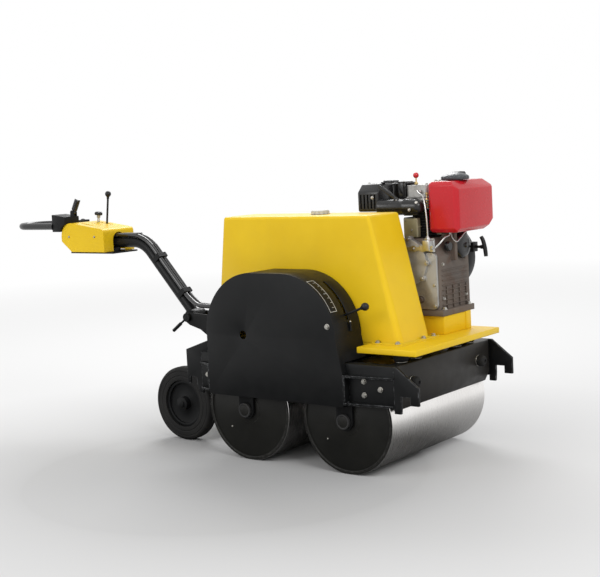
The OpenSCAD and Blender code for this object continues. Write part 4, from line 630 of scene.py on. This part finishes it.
# Two hoses that leave the hood's rear, pass over the handle's pivot and run up the arm into the console
hoseSet = {"radius": 10.0, "frame": ((-39, -13), (-13, 13)), "level": 583.0, "hoodX": -500.4,
    "frameEnd": -740.0, "armFrom": 118.0, "armLift": 35.3, "pivot": (-850.0, 530.0), "angle": 47.6,
    "armTop": 872.0, "bend": 150.0, "end": -1376.0}


# A point along the arm's lower run, to one side of it and lifted off its middle line
def armPoint(s, along, side, lift):
    px, pz = s["pivot"]
    return at(px, side, pz) + (rising(180 - s["angle"]) * along + rising(90 - s["angle"]) * lift) / 1000


def makeHoses(s):
    a = math.radians(s["angle"])
    straight = (s["armTop"] - s["pivot"][1]) / math.sin(a) - s["bend"] * math.tan(a / 2)
    corner = armPoint(s, straight, 0, -s["bend"])
    reach = (s["bend"] + s["armLift"]) / 1000
    for i, (low, high) in enumerate(s["frame"]):
        path = [at(x, low, s["level"]) for x in (s["hoodX"], -560, -620, -680, s["frameEnd"])]
        path += [at(-798, low * 0.8 + high * 0.2, 586), at(-846, low * 0.45 + high * 0.55, 604)]
        path += [armPoint(s, along, high, s["armLift"])
            for along in [s["armFrom"] + more for more in (0, 60, 130, 200)] + [straight]]
        path += [corner + rising(90 - s["angle"] + s["angle"] * k / 8) * reach + Vector((0, high / 1000, 0))
            for k in range(1, 9)]
        path += [at(x, high, s["armTop"] + s["armLift"]) for x in (-1190, -1250, -1310, s["end"])]
        bm = bmesh.new()
        tube(bm, splinePath(path, 6), s["radius"] / 1000, 20)
        bmesh.ops.recalc_face_normals(bm, faces=bm.faces)
        hose = newObject("controlHose%d" % (i + 1), bm)
        smoothSharp(hose, 60.0)
        dress(hose, "hose_black")
        if i == 0:
            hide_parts("frame_hoses", "handle_hoses")
        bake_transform(hose)


# Side cover: a painted scale beside the lever's slot, the lever's stop, and the peep hole's rolled lip
coverSet = {"x": -5.0, "z": 531.0, "radius": 254.0, "face": -400.0, "scaleLow": 25.0, "scaleHigh": 62.0,
    "scaleNear": -388.0, "scaleFar": -346.0, "line": 2.2, "ticks": 7, "pinX": 250.5, "pinY": -297.0,
    "pinLow": 556.0, "pinHigh": 592.0, "holeX": -217.0, "holeRadius": 17.5, "sink": 0.3, "lift": 0.35}


# A raised strip on the cover's arc between two angles, in degrees, and two widths
def arcStrip(bm, s, lowAngle, highAngle, near, far, steps=40):
    rings = []
    for i in range(steps + 1):
        way = rising(lowAngle + (highAngle - lowAngle) * i / steps)
        rings.append([bm.verts.new(at(s["x"], y, s["z"]) + way * ((s["radius"] + q) / 1000))
            for y, q in ((near, -s["sink"]), (near, s["lift"]), (far, s["lift"]), (far, -s["sink"]))])
    skin(bm, rings, True)


def makeCoverDetails(s):
    bm = bmesh.new()
    low, high, near, far, w = s["scaleLow"], s["scaleHigh"], s["scaleNear"], s["scaleFar"], s["line"]
    wide = math.degrees(w / s["radius"])
    arcStrip(bm, s, low, high, near, near + w)
    arcStrip(bm, s, low, high, far - w, far)
    arcStrip(bm, s, low, low + wide, near + w, far - w, steps=4)
    arcStrip(bm, s, high - wide, high, near + w, far - w, steps=4)
    for i in range(s["ticks"]):
        a = low + 4 + (high - low - 8) * i / (s["ticks"] - 1)
        long = 16 if i % 3 == 0 else 9
        arcStrip(bm, s, a, a + wide * 0.7, far - w - 2 - long, far - w - 2, steps=2)
    makePiece("speedScale", bm, "tank_plastic", "chassis")
    bm = bmesh.new()
    lathe(bm, ((0, 0), (0, 6), (1, 7), (8, 7), (9, 5.2), (s["pinHigh"] - s["pinLow"], 5.2),
        (s["pinHigh"] - s["pinLow"], 0)), at(s["pinX"], s["pinY"], s["pinLow"]), upward, 32)
    makePiece("leverStop", bm, "frame_black", "chassis")
    bm = bmesh.new()
    lathe(bm, ((0, 0), (0, 4.6), (2, 4.4), (4.4, 2.6), (5.4, 0)), at(s["pinX"], s["pinY"], s["pinHigh"]),
        upward, 32)
    makePiece("leverStopTop", bm, "zinc_bolt", "chassis")
    bm = bmesh.new()
    r = s["holeRadius"]
    closedRing(bm, ((-0.6, r - 0.2), (0.5, r - 0.4), (0.9, r + 1), (0.5, r + 2.6), (-0.6, r + 3)),
        at(s["holeX"], s["face"] + 1.2, s["z"]), rightward, 64)
    makePiece("peepLip", bm, "frame_black", "chassis")


# Levers and knobs: lathed balls and grips on their rods
leverSet = {"speedPivot": (-5.0, -300.0, 531.0), "speedAngle": 20.4, "speedReach": 353.0, "lean": 8.0,
    "throttle": (-1486.0, 60.0, 906.0), "throttleLong": 202.0, "star": (-1549.0, 60.0, 906.0),
    "starAt": 96.0, "starRadius": 16.4, "lobes": 5, "lobeHigh": 4.5, "pitch": 1.1, "turns": 70,
    "travel": (-1608.0, -40.0, 1022.0), "travelAngle": 60.0}


def makeLevers(s):
    p, way = at(*s["speedPivot"]), rising(s["speedAngle"])
    bm = bmesh.new()
    hubRing(bm, p, 9, 8.06, 18, 1.4, 48)
    reach = s["speedReach"]
    lathe(bm, ((10.5, 0), (10.5, 5), (reach - 22, 5), (reach - 20, 7), (reach - 14, 7.4),
        (reach - 12.6, 9.6), (reach - 9, 13), (reach - 4, 15.4), (reach, 16), (reach + 5, 15.2),
        (reach + 10, 12.5), (reach + 14, 7.8), (reach + 15.6, 3.6), (reach + 16, 0)), p, way, 32)
    makePiece("speedLeverArm", bm, "frame_black", "vibration_lever", "speed_lever", look="black_plastic")
    p, way, long = at(*s["throttle"]), rising(90 - s["lean"]), s["throttleLong"]
    bm = bmesh.new()
    hubRing(bm, p, 6.7, 4.05, 12, 1, 40)
    lathe(bm, ((8, 0), (8, 5), (long - 26, 5), (long - 25, 6.4), (long - 15, 6.8), (long - 13, 8.8),
        (long - 8, 12.8), (long - 3, 14.7), (long, 15), (long + 5, 14.1), (long + 10, 11.2),
        (long + 13.5, 6.6), (long + 15, 0)), p, way, 32)
    makePiece("throttleArm", bm, "frame_black", "throttle", "throttle_lever", look="black_plastic")
    # star knob: five lobes with a domed top on a pale threaded stem
    p, up = at(*s["star"]), s["starAt"]
    side = Vector(leftward)
    bm = bmesh.new()
    skin(bm, [ringOf(bm, p + way * ((up + height) / 1000), side, way.cross(side),
        lambda t: (s["starRadius"] + s["lobeHigh"] * math.cos(s["lobes"] * t)) * scale / 1000, 90)
        for height, scale in ((0, 0.55), (0.5, 0.78), (3, 0.96), (6, 1.0), (11, 0.99), (15, 0.9),
        (17.4, 0.66), (18, 0.4))], True)
    makePiece("starGrip", bm, "black_plastic", "knob", "star_knob", look="grip_black", smooth=50.0)
    bm = bmesh.new()
    thread = [(2 + i * s["pitch"], 6.0 - 0.55 * (i % 2)) for i in range(s["turns"])]
    lathe(bm, [(1.2, 0), (1.2, 5.2), *thread, (up - 12, 6), (up - 12, 9), (up - 0.4, 9.5), (up - 0.4, 0)], p,
        way, 28)
    makePiece("starStem", bm, "zinc_bolt", "knob")
    # travel lever: rod with a ribbed grip
    p, way = at(*s["travel"]), rising(s["travelAngle"])
    bm = bmesh.new()
    hubRing(bm, p, 6.7, 4.05, 12, 1, 40)
    grip = [(9, 0), (9, 6), (13, 6), (13.6, 10), (15, 13.4)]
    for base in range(16, 67, 5):
        grip += [(base, 14.6), (base + 3.4, 14.6), (base + 3.9, 13.8), (base + 4.6, 13.8)]
    grip += [(72.0, 13.8), (75, 11.4), (76, 6), (76, 0)]
    lathe(bm, grip, p, way, 36)
    makePiece("travelGrip", bm, "frame_black", "direction_lever", "travel_lever", look="grip_black")


# Loop handle: a thick sleeved tube, and the flanges bolted to the cross tube
loopSet = {"rear": -2016.0, "start": -1690.0, "half": 100.0, "radius": 17.0, "level": 957.0, "flangeY": 92.0}


def makeLoop(s):
    r, half, level = s["radius"], s["half"], s["level"]
    mid = s["rear"] + half + r
    along = [s["start"], s["start"] - 60, s["start"] - 120, mid + 40]
    path = [at(x, half, level) for x in along]
    path += [at(mid - half * math.sin(t), half * math.cos(t), level)
        for t in (math.pi * i / 32 for i in range(33))]
    path += [at(x, -half, level) for x in reversed(along)]
    bm = bmesh.new()
    tube(bm, path, r / 1000, 32)
    for side in (-1, 1):
        lathe(bm, ((0, 0), (0, 25), (0.8, 26), (3.2, 26), (4, 25), (4, 0)),
            at(s["start"], side * s["flangeY"], level), rearward, 48)
        closedRing(bm, ((34, r - 0.6), (34, r), (35, r + 0.01), (35, r - 0.6)),
            at(s["start"], side * half, level), rearward, 40)
    makePiece("loopTube", bm, "grip_black", "handle", "loop_handle", smooth=50.0)
    spots = [(at(s["start"] - 4, side * s["flangeY"] + 19 * math.cos(a), level + 19 * math.sin(a)), rearward,
        0.42) for side in (-1, 1) for a in (math.pi / 2, -math.pi / 2)]
    boltsAt("loopScrews", spots, "handle")


# Console: the screws of its side covers
consoleSet = {"half": 100.0, "screws": ((-1583.0, 905.0), (-1400.0, 905.0)), "size": 0.5}


def makeConsoleDetails(s):
    for name, side in (("Near", -1), ("Far", 1)):
        boltsAt("consoleScrews" + name, [(at(x, side * s["half"], z), (0, side, 0), s["size"])
            for x, z in s["screws"]], "handle")


makeDrums(drumSet)
makeTyres(wheelSet)
makeMounts(mountSet)
makeHoses(hoseSet)
makeCoverDetails(coverSet)
makeLevers(leverSet)
makeLoop(loopSet)
makeConsoleDetails(consoleSet)
print("drums, wheels, mounts, hoses and levers made")


# Cuts a row of equal slots through a piece: the tree places boxes along a line and takes them away
def slotTree():
    tree, given, out = newTree("slotRow", {"Count": "Int", "First": "Vector", "Step": "Vector",
        "Slot Size": "Vector", "Finish": "Material"})
    line = added(tree, "GeometryNodeMeshLine", {"Count": given["Count"], "Start Location": given["First"],
        "Offset": given["Step"]})
    box = added(tree, "GeometryNodeMeshCube", {"Size": given["Slot Size"]}, "Mesh")
    put = added(tree, "GeometryNodeInstanceOnPoints", {"Points": line, "Instance": box})
    real = added(tree, "GeometryNodeRealizeInstances", {"Geometry": put})
    rest = added(tree, "GeometryNodeMeshBoolean", {"Mesh 1": given["Geometry"], "Mesh 2": real}, "Mesh",
        operation="DIFFERENCE")
    return endTree(tree, rest, given["Finish"], out)


slotGroup = slotTree()


# Muffler: rounded guard with slots, canister with rolled seams, top bar, strut, bracket and outlet
mufflerSet = {"rear": 55.0, "front": 160.0, "near": 62.0, "far": 182.0, "low": 997.0, "high": 1113.0,
    "cut": 34.0, "round": 9.0, "slots": 5, "slotWide": 7.5, "slotHigh": 58.0, "canY": 72.5, "canZ": 1014.0,
    "canLong": 209.0, "flange": (308.0, 1025.5), "outlet": (79.0, 182.0, 1045.0), "bracket": ((160, 1098),
    (160, 1112), (206, 1090), (262, 1046), (254, 1034), (200, 1076)),
    "foot": ((240, 1056), (266, 1040), (262, 1026), (236, 1040)), "slotFoot": 42.0, "slotDeep": 18.0}


def makeMuffler(s):
    outline = [(s["near"], s["low"]), (s["far"], s["low"]), (s["far"], s["high"]),
        (s["near"] + s["cut"], s["high"]), (s["near"], s["high"] - s["cut"])]
    bm = bmesh.new()
    roundedHull(bm, [at(x, y, z) for x in (s["rear"], s["front"]) for y, z in outline], s["round"] / 1000)
    pitch = (s["front"] - s["rear"]) / (s["slots"] + 1)
    bmesh.ops.recalc_face_normals(bm, faces=bm.faces)
    guard = fromTree("mufflerGuard", newObject("mufflerGuardHost", bm), slotGroup,
        {"Count": s["slots"], "First": at(s["rear"] + pitch, s["near"] + 2, s["low"] + s["slotFoot"]),
        "Step": (pitch / 1000, 0, 0), "Slot Size": (s["slotWide"] / 1000, s["slotDeep"] / 1000,
        s["slotHigh"] / 1000), "Finish": finishes["muffler_black"]}, 35.0)
    finishPiece(guard, "muffler_black", "chassis", "muffler")
    bm = bmesh.new()
    long = s["canLong"]
    lathe(bm, ((0, 0), (0, 31), (3, 33.6), (9, 34.4), (12, 33.2), (16, 32.6), (118, 32.6), (122, 33.2),
        (125, 34.4), (131, 34.4), (134, 33.4), (long - 40, 32.6), (long - 24, 30.8), (long - 12, 26.5),
        (long - 4, 20), (long, 11), (long, 0)), at(s["front"], s["canY"], s["canZ"]), forward, 64)
    lathe(bm, ((0, 0), (0, 18), (30, 18), (34, 24), (41, 24), (41.4, 0)),
        at(s["flange"][0], s["canY"], s["flange"][1]), leftward, 40)
    makePiece("mufflerCan", bm, "muffler_black", "chassis", smooth=45.0)
    bm = bmesh.new()
    closedRing(bm, ((-2, 12.4), (-2, 15), (18, 15), (19, 15), (22, 13.8), (22, 12.4)), at(*s["outlet"]),
        leftward, 40)
    softBox(bm, at(142.5, 112, 1113), at(290, 132, 1118), 0.002)
    softBox(bm, at(150, 118, 1116), at(226, 126, 1124), 0.0035, 3)
    softBox(bm, at(228, 112, 1048), at(252, 132, 1113.5), 0.0015)
    makePiece("mufflerBars", bm, "muffler_black", "chassis")
    # flat bracket that leans from the guard down to the canister
    bm = bmesh.new()
    roundedHull(bm, [at(x, y, z) for x, z in s["bracket"] for y in (63, 67)], 0.0014, 2)
    roundedHull(bm, [at(x, y, z) for x, z in s["foot"] for y in (60, 84)], 0.002, 2)
    makePiece("mufflerBracket", bm, "muffler_black", "chassis")
    boltsAt("mufflerBolts", [(at(131, 62, 1056), rightward, 0.62), (at(325, 39.4, 1004), rightward, 0.6),
        (at(352, 52, 1032), (0.3, -1, 0.3), 0.6), (at(251, 60, 1041), rightward, 0.42),
        (at(79, 120, 1113), upward, 0.5)], "chassis")


# Air cleaner: canister with a clamp band, a lid with a rolled rim, and its wing nut
cleanerSet = {"x": 168.0, "y": 250.0, "low": 983.0, "high": 1113.0, "inletY": 210.0, "inletZ": 1025.5,
    "bandZ": 30.0}


def makeCleaner(s):
    tall = s["high"] - s["low"]
    bm = bmesh.new()
    lathe(bm, ((0, 0), (0, 47), (2, 51), (6, 52), (60, 52), (62, 50.6), (66, 50.6), (68, 52),
        (tall - 14, 52), (tall - 12, 54.4), (tall - 9, 55), (tall - 5, 54.6), (tall - 3, 52),
        (tall - 1.6, 44), (tall - 4, 40), (tall - 4, 20), (tall - 1, 16), (tall - 1, 0)),
        at(s["x"], s["y"], s["low"]), upward, 72)
    lathe(bm, ((0, 0), (0, 18), (20, 18), (23, 22), (30, 22), (31, 18), (72, 18), (72, 0)),
        at(s["x"], s["inletY"], s["inletZ"]), forward, 36)
    makePiece("airCleanerCan", bm, "black_plastic", "chassis", "air_cleaner")
    bm = bmesh.new()
    lathe(bm, ((0, 0), (0, 7), (1.5, 8), (5, 7), (7, 4), (9.4, 3.4), (10, 0)),
        at(s["x"], s["y"], s["high"] - 5), upward, 24)
    closedRing(bm, ((-3, 51.8), (-3, 52.6), (3, 52.6), (3, 51.8)), at(s["x"], s["y"], s["low"] + s["bandZ"]),
        upward, 64)
    band = s["low"] + s["bandZ"]
    softBox(bm, at(s["x"] - 6, s["y"] + 51.5, band - 5), at(s["x"] + 6, s["y"] + 58, band + 5), 0.0015)
    makePiece("airCleanerClamp", bm, "zinc_bolt", "chassis")


# Fuel tank, its filler, cap and clamp screws
tankSet = {"top": 1114.0, "round": 11.0, "capX": 460.5, "capY": 180.0, "scallops": 12, "scallopDeep": 1.8,
    "neckSides": 48, "capSides": 120}


def makeTank(s):
    bm = bmesh.new()
    bm.from_mesh(nodes["fuel_tank"].data)
    points = {tuple(round(c, 5) for c in v.co) for v in bm.verts if v.co.z < s["top"] / 1000 + 0.0005}
    bm.free()
    bm = bmesh.new()
    roundedHull(bm, sorted(points), s["round"] / 1000, 6)
    makePiece("tankBody", bm, "tank_red", "chassis", "fuel_tank", smooth=60.0)
    x, y, top = s["capX"], s["capY"], s["top"]
    bm = bmesh.new()
    lathe(bm, ((-0.5, 0), (-0.5, 34), (1.4, 33), (1.4, 26), (11, 26), (11, 0)), at(x, y, top), upward,
        s["neckSides"])
    makePiece("tankNeck", bm, "zinc_bolt", "chassis")
    # the cap: a low dome with finger scallops, and the block of its lock on one side
    bm = bmesh.new()
    skin(bm, [ringOf(bm, at(x, y, top + height), Vector(forward), Vector(leftward),
        lambda t: (radius - dent * s["scallopDeep"] * max(0.0, math.cos(s["scallops"] * t)) ** 2) / 1000,
        s["capSides"]) for height, radius, dent in ((2.0, 53, 0.0), (3.4, 56, 1.0), (5, 57.4, 1.0),
        (14, 57.4, 1.0), (17, 55.5, 0.9), (20, 51, 0.6), (24, 43, 0.25), (28, 33, 0.0), (31, 20, 0.0),
        (32.4, 8, 0.0))], True)
    makePiece("tankCapDome", bm, "black_plastic", "fuel_filler_cap", "fuel_cap", look="cap_grey", smooth=45.0)
    bm = bmesh.new()
    roundedHull(bm, [at(x + dx, y + dy, z) for dx in (-19, 19) for dy, z in ((2, top + 12), (2, top + 31),
        (12, top + 35.6), (50, top + 34), (57, top + 28), (57, top + 8))], 0.0035, 3)
    makePiece("tankCapLock", bm, "black_plastic", "fuel_filler_cap")
    boltsAt("tankScrews", [(at(410, 112, top - 0.6), upward, 0.75), (at(424, 122, top - 0.4), upward, 0.7),
        (at(404, 128, top - 0.6), upward, 0.6)], "chassis")


# Injection pump, olive box, nozzle holder, and smooth bent pipes with nuts at their ends
lineSet = {"pipe": 0.0031, "feed": 0.0036, "leak": 0.0026, "run": ((405, 42.7, 884), (405, 42.7, 930),
    (402, 43, 985), (392, 50, 1030), (376, 63, 1057), (352, 76, 1068), (334, 92, 1076), (329, 108, 1076),
    (328, 122, 1074)), "feedRun": ((421, 42.7, 850), (436, 44, 850), (452, 56, 868), (460.5, 82, 890),
    (460.5, 100, 893), (460.5, 119.7, 898), (460.5, 119.7, 907)), "leakRun": ((450, 150, 906),
    (455, 148, 884), (468, 158, 866), (470, 190, 880), (468, 225, 897), (466, 250, 903)),
    "nut": (405, 42.7, 880), "nozzle": (328, 125, 1074)}


def makeLines(s):
    bm = bmesh.new()
    run = s["run"]
    for points, radius, steps in ((run, s["pipe"], 16), (s["feedRun"], s["feed"], 16),
            (s["leakRun"], s["leak"], 12)):
        tube(bm, splinePath([at(*p) for p in points]), radius, steps)
    for p, way, long in ((run[0], upward, 14), (run[-1], rightward, 12)):
        lathe(bm, ((0, 0), (0, 7.4), (long - 3, 7.4), (long, 4.4), (long, 0)), at(*p), way, 6)
    # pump body with its flange and delivery nut
    softBox(bm, at(388, 25.7, 838), at(422, 59.4, 882), 0.003, 3)
    lathe(bm, ((0, 0), (0, 12), (8, 12), (10, 10), (12, 10), (12, 0)), at(*s["nut"]), upward, 6)
    softBox(bm, at(382, 52, 832), at(428, 59.4, 888), 0.002, 2)
    # nozzle holder and its clamp against the rocker cover
    lathe(bm, ((0, 0), (0, 8), (10, 8), (12, 5.4), (15, 5.4), (15, 0)), at(*s["nozzle"]), rightward, 24)
    makePiece("injectionLines", bm, "bright_steel", "chassis", "fuel_system")
    bm = bmesh.new()
    softBox(bm, at(262, 88, 888), at(330, 114, 968), 0.004, 3)
    softBox(bm, at(258, 96, 930), at(334, 113.8, 935), 0.001, 1)
    makePiece("oliveBox", bm, "zinc_bolt", "chassis", look="olive_zinc")
    boltsAt("pumpBolts", [(at(386, 51.6, 836), rightward, 0.45), (at(424, 51.6, 884), rightward, 0.45),
        (at(300, 88, 918), rightward, 0.5), (at(270, 88, 958), rightward, 0.36)], "chassis")


# Head and rocker cover: domed nuts, studs, the compression release with its red ball
headSet = {"x": 308.0, "y": 178.0, "plate": 1053.0, "top": 1100.0, "fitting": (356.0, 128.0, 1003.0),
    "rings": (9.0, 18.0, 27.0, 36.0), "release": (288.0, 158.0, 1106.3)}


def makeHead(s):
    softNode("rocker_cover", 0.004, 3)
    x, y = s["x"], s["y"]
    boltsAt("headNuts", [(at(x + dx, y + dy, s["plate"]), upward, 0.5) for dx in (-50, 50)
        for dy in (-30, 30)] + [(at(x + dx, y, s["top"]), upward, 0.62) for dx in (18, 36)], "chassis")
    bm = bmesh.new()
    foot = at(*s["fitting"])
    for up in s["rings"]:
        closedRing(bm, ((up - 1.2, 7), (up - 1.2, 10.5), (up + 1.2, 10.5), (up + 1.2, 7)), foot, upward, 24)
    lathe(bm, ((0, 0), (0, 7), (40, 7), (44, 4), (56, 4), (58, 6.5), (66, 6.5), (66, 0)), foot, upward, 24)
    makePiece("headFitting", bm, "zinc_bolt", "chassis", look="brass")
    p = at(*s["release"])
    bm = bmesh.new()
    lathe(bm, ((-6, 0), (-6, 5), (-5, 6), (5, 6), (6, 5), (6, 0)), p, leftward, 32)
    lathe(bm, ((2, 0), (2, 4.4), (7, 4.4), (8.4, 3), (25, 3), (25, 0)), p, upward, 24)
    makePiece("releaseStem", bm, "zinc_bolt", "decompressor", look="brass")
    bm = bmesh.new()
    lathe(bm, ((22, 0), (22.4, 4), (25, 8), (29, 11), (34, 12), (39, 11), (43, 8), (45.4, 4), (46, 0)), p,
        upward, 36)
    makePiece("releaseBall", bm, "knob_red", "decompressor", "decompression_lever", smooth=60.0)


# Crankcase: scalloped flange, cover bolts, foot bolts, ribs, drain plug and the dark round cover at the front
caseSet = {"x": 300.0, "z": 790.0, "near": 34.0, "ring": 98.0, "bosses": 9, "footZ": 598.0,
    "flangeFrom": 206.0, "flangeLong": 230.0, "wave": 3.2, "waveLong": 46.0, "end": 440.0,
    "lid": (440.0, 236.0, 846.0), "sight": (440.0, 130.0, 850.0), "drain": (360.0, 60.0, 640.0),
    "ribs": (110, 160, 210, 262)}


def makeCaseDetails(s):
    # the bright flange with a scalloped edge above the cover
    steps = 96
    bm = bmesh.new()
    rings = []
    for k in range(steps + 1):
        along = s["flangeLong"] * k / steps
        wave = s["wave"] * math.cos(2 * math.pi * along / s["waveLong"])
        rings.append([bm.verts.new(at(s["flangeFrom"] + along, y, z)) for y, z in ((28.6, 838 - wave),
            (28.6, 858 + wave), (35, 858 + wave), (35, 838 - wave))])
    skin(bm, rings, True)
    makePiece("gasketFlange", bm, "bright_steel", "chassis")
    spots = [(p, rightward, 0.62) for p in around(s["x"], s["near"], s["z"], s["ring"],
        [360 * i / s["bosses"] for i in range(s["bosses"])])]
    spots += [(at(x, 28.6, 848), rightward, 0.5) for x in (252, 298, 344, 431)]
    spots += [(at(x, y, s["footZ"]), upward, 1.1) for x in (192, 449) for y in (80, 270)]
    spots += [(at(x, 47, z), rightward, 0.6)
        for x, z in ((214, 615), (426, 615), (214, 700), (426, 700), (320, 612))]
    spots += [(at(s["end"], y, z), forward, 0.7) for y, z in ((90, 640), (266, 640), (90, 780))]
    boltsAt("caseBolts", spots, "chassis")
    bm = bmesh.new()
    lathe(bm, ((0, 0), (0, 52), (5, 54), (12, 53), (20, 48), (24, 40), (26, 26), (26, 12), (30, 10), (34, 9),
        (34, 0)), at(*s["lid"]), forward, 64)
    lathe(bm, ((0, 0), (0, 20), (10, 20), (13, 17), (16, 17), (16, 0)), at(*s["sight"]), forward, 40)
    makePiece("frontCover", bm, "black_plastic", "chassis", look="muffler_black")
    bm = bmesh.new()
    for y in s["ribs"]:
        softBox(bm, at(s["end"] - 0.5, y, 600), at(s["end"] + 6, y + 5, 688), 0.0015)
    lathe(bm, ((0, 0), (0, 16), (3, 17), (12, 17), (14, 15), (14, 9), (22, 9), (22, 0)), at(*s["drain"]),
        rightward, 32)
    makePiece("caseRibs", bm, "engine_alloy", "chassis", look="engine_foot")


# Recoil starter: its cover's bolts, and the grip on its cord guide
recoilSet = {"guide": (453.4, 336.0, 830.0), "x": 300.0, "z": 790.0, "face": 384.0, "rim": 354.0,
    "ring": 118.0, "grip": ((481.0, 336.0, 872.0), (489.0, 336.0, 858.0), (496.0, 336.0, 832.0),
    (500.0, 336.0, 806.0), (501.0, 336.0, 790.0))}


def makeRecoil(s):
    softNode("fan_housing", 0.0014, 2)
    spots = [(p, leftward, 0.6) for p in around(s["x"], s["rim"], s["z"], s["ring"], range(20, 360, 60))]
    spots += [(at(s["x"], s["face"], s["z"]), leftward, 0.9)]
    boltsAt("recoilBolts", spots, "chassis")
    bm = bmesh.new()
    tube(bm, splinePath([at(*p) for p in s["grip"]]), [0.0078 + 0.0011 * math.sin(math.pi * i / 32)
        for i in range(33)], 24)
    lathe(bm, ((0, 0), (0, 6), (18, 6), (28, 9), (40, 9), (40, 0)), at(*s["guide"]), forward, 24)
    makePiece("recoilGrip", bm, "black_plastic", "starter_grip", "recoil_handle", smooth=50.0)


makeMuffler(mufflerSet)
makeCleaner(cleanerSet)
makeTank(tankSet)
makeLines(lineSet)
makeHead(headSet)
makeCaseDetails(caseSet)
makeRecoil(recoilSet)
print("engine dressed")


# Floor, backdrop and light
# near and mid: floor tones, darker near the machine as painted shade on top of the lamps' own shadow
# the dark reflection tone: a near black floor seen only by reflections, a painted dark reflection
stageSet = {"near": 0.48, "mid": 0.69, "nearFrom": 0.2, "nearTo": 2.2, "size": 80.0,
    "centre": (-0.5, 0.55, 0.0), "fadeFrom": 0.8, "fadeTo": 9.0, "fadePower": 0.55, "paintedDarkReflection": 0.10,
    "mirrorFrom": 0.9, "mirrorTo": 2.4, "rough": 0.9, "specular": 0.1, "world": 0.58, "key": 290.0,
    "fill": 205.0, "back": 150.0}


# Lets one shader turn into another by a factor, and shows the result
def blendShaders(tree, fac, a, b, output):
    fill(tree, output, {"Surface": added(tree, "ShaderNodeMixShader", {0: fac, 1: a, 2: b})})


# The floor keeps its shadow near the machine and turns into the white backdrop further out
def makeFloor(s):
    mesh = bpy.data.meshes.new("floor")
    h = s["size"] / 2
    mesh.from_pydata([(-h, -h, 0), (h, -h, 0), (h, h, 0), (-h, h, 0)], [], [(0, 1, 2, 3)])
    mat, tree, shader = newMaterial("floorPale")
    coords = added(tree, "ShaderNodeTexCoord", result="Object")
    shift = added(tree, "ShaderNodeVectorMath", {0: coords, 1: s["centre"]}, operation="ADD")
    reach = added(tree, "ShaderNodeVectorMath", {0: shift}, "Value", operation="LENGTH")
    far = mathOf(tree, "POWER", spanOf(tree, reach, s["fadeFrom"], s["fadeTo"]), s["fadePower"])
    # near the machine, reflections see the floor near black instead of white: a painted dark reflection on
    # the drums' lower halves
    farMirrored = spanOf(tree, reach, s["mirrorFrom"], s["mirrorTo"])
    direct, glossy = (added(tree, "ShaderNodeLightPath", result="Is %s Ray" % ray)
        for ray in ("Camera", "Glossy"))
    fade = mathOf(tree, "ADD", mathOf(tree, "MULTIPLY", direct, far),
        mathOf(tree, "MULTIPLY", glossy, farMirrored))
    near, mid, paintedDarkReflection = (rgba((s[key],) * 3) for key in ("near", "mid", "paintedDarkReflection"))
    # the floor's base colour darkens towards the machine: painted shade
    paintedShadeTone = mixOf(tree, spanOf(tree, reach, s["nearFrom"], s["nearTo"]), near, mid)
    fill(tree, shader, {"Base Color": mixOf(tree, glossy, paintedShadeTone, paintedDarkReflection), "Roughness": s["rough"],
        "Specular IOR Level": s["specular"]})
    blendShaders(tree, fade, shader.outputs["BSDF"], added(tree, "ShaderNodeEmission"),
        tree.nodes["Material Output"])
    mesh.materials.append(mat)
    linkObject("floor", mesh)


# A white backdrop for the camera and for reflections, which lights the machine less brightly
def makeWorld(s):
    world = bpy.data.worlds.new("studio")
    bpy.context.scene.world = world
    world.use_nodes = True
    tree = world.node_tree
    tree.nodes.clear()
    lit, shown = (added(tree, "ShaderNodeBackground", {"Color": (1, 1, 1, 1), "Strength": strength})
        for strength in (s["world"], 1.0))
    direct, glossy = (added(tree, "ShaderNodeLightPath", result="Is %s Ray" % ray)
        for ray in ("Camera", "Glossy"))
    blendShaders(tree, mathOf(tree, "MAXIMUM", direct, glossy), lit, shown,
        tree.nodes.new("ShaderNodeOutputWorld"))


def makeLamp(name, place, aim, size, power):
    data = bpy.data.lights.new(name, "AREA")
    data.shape = "RECTANGLE"
    data.size, data.size_y = size
    data.energy = power
    lamp = linkObject(name, data)
    lamp.location = place
    lamp.rotation_euler = (Vector(aim) - Vector(place)).to_track_quat("-Z", "Y").to_euler()


makeFloor(stageSet)
makeWorld(stageSet)
makeLamp("keyLamp", (7.0, -2.6, 6.2), (0.4, 0, 0.5), (4.5, 3.5), stageSet["key"])
makeLamp("fillLamp", (-1.5, -7.5, 4.5), (0, 0, 0.5), (4.5, 3.5), stageSet["fill"])
makeLamp("backLamp", (-2.0, 3.0, 4.0), (0.2, 0, 0.6), (3.0, 2.0), stageSet["back"])
bpy.context.scene.view_settings.view_transform = "Standard"
print("stage and lamps made")
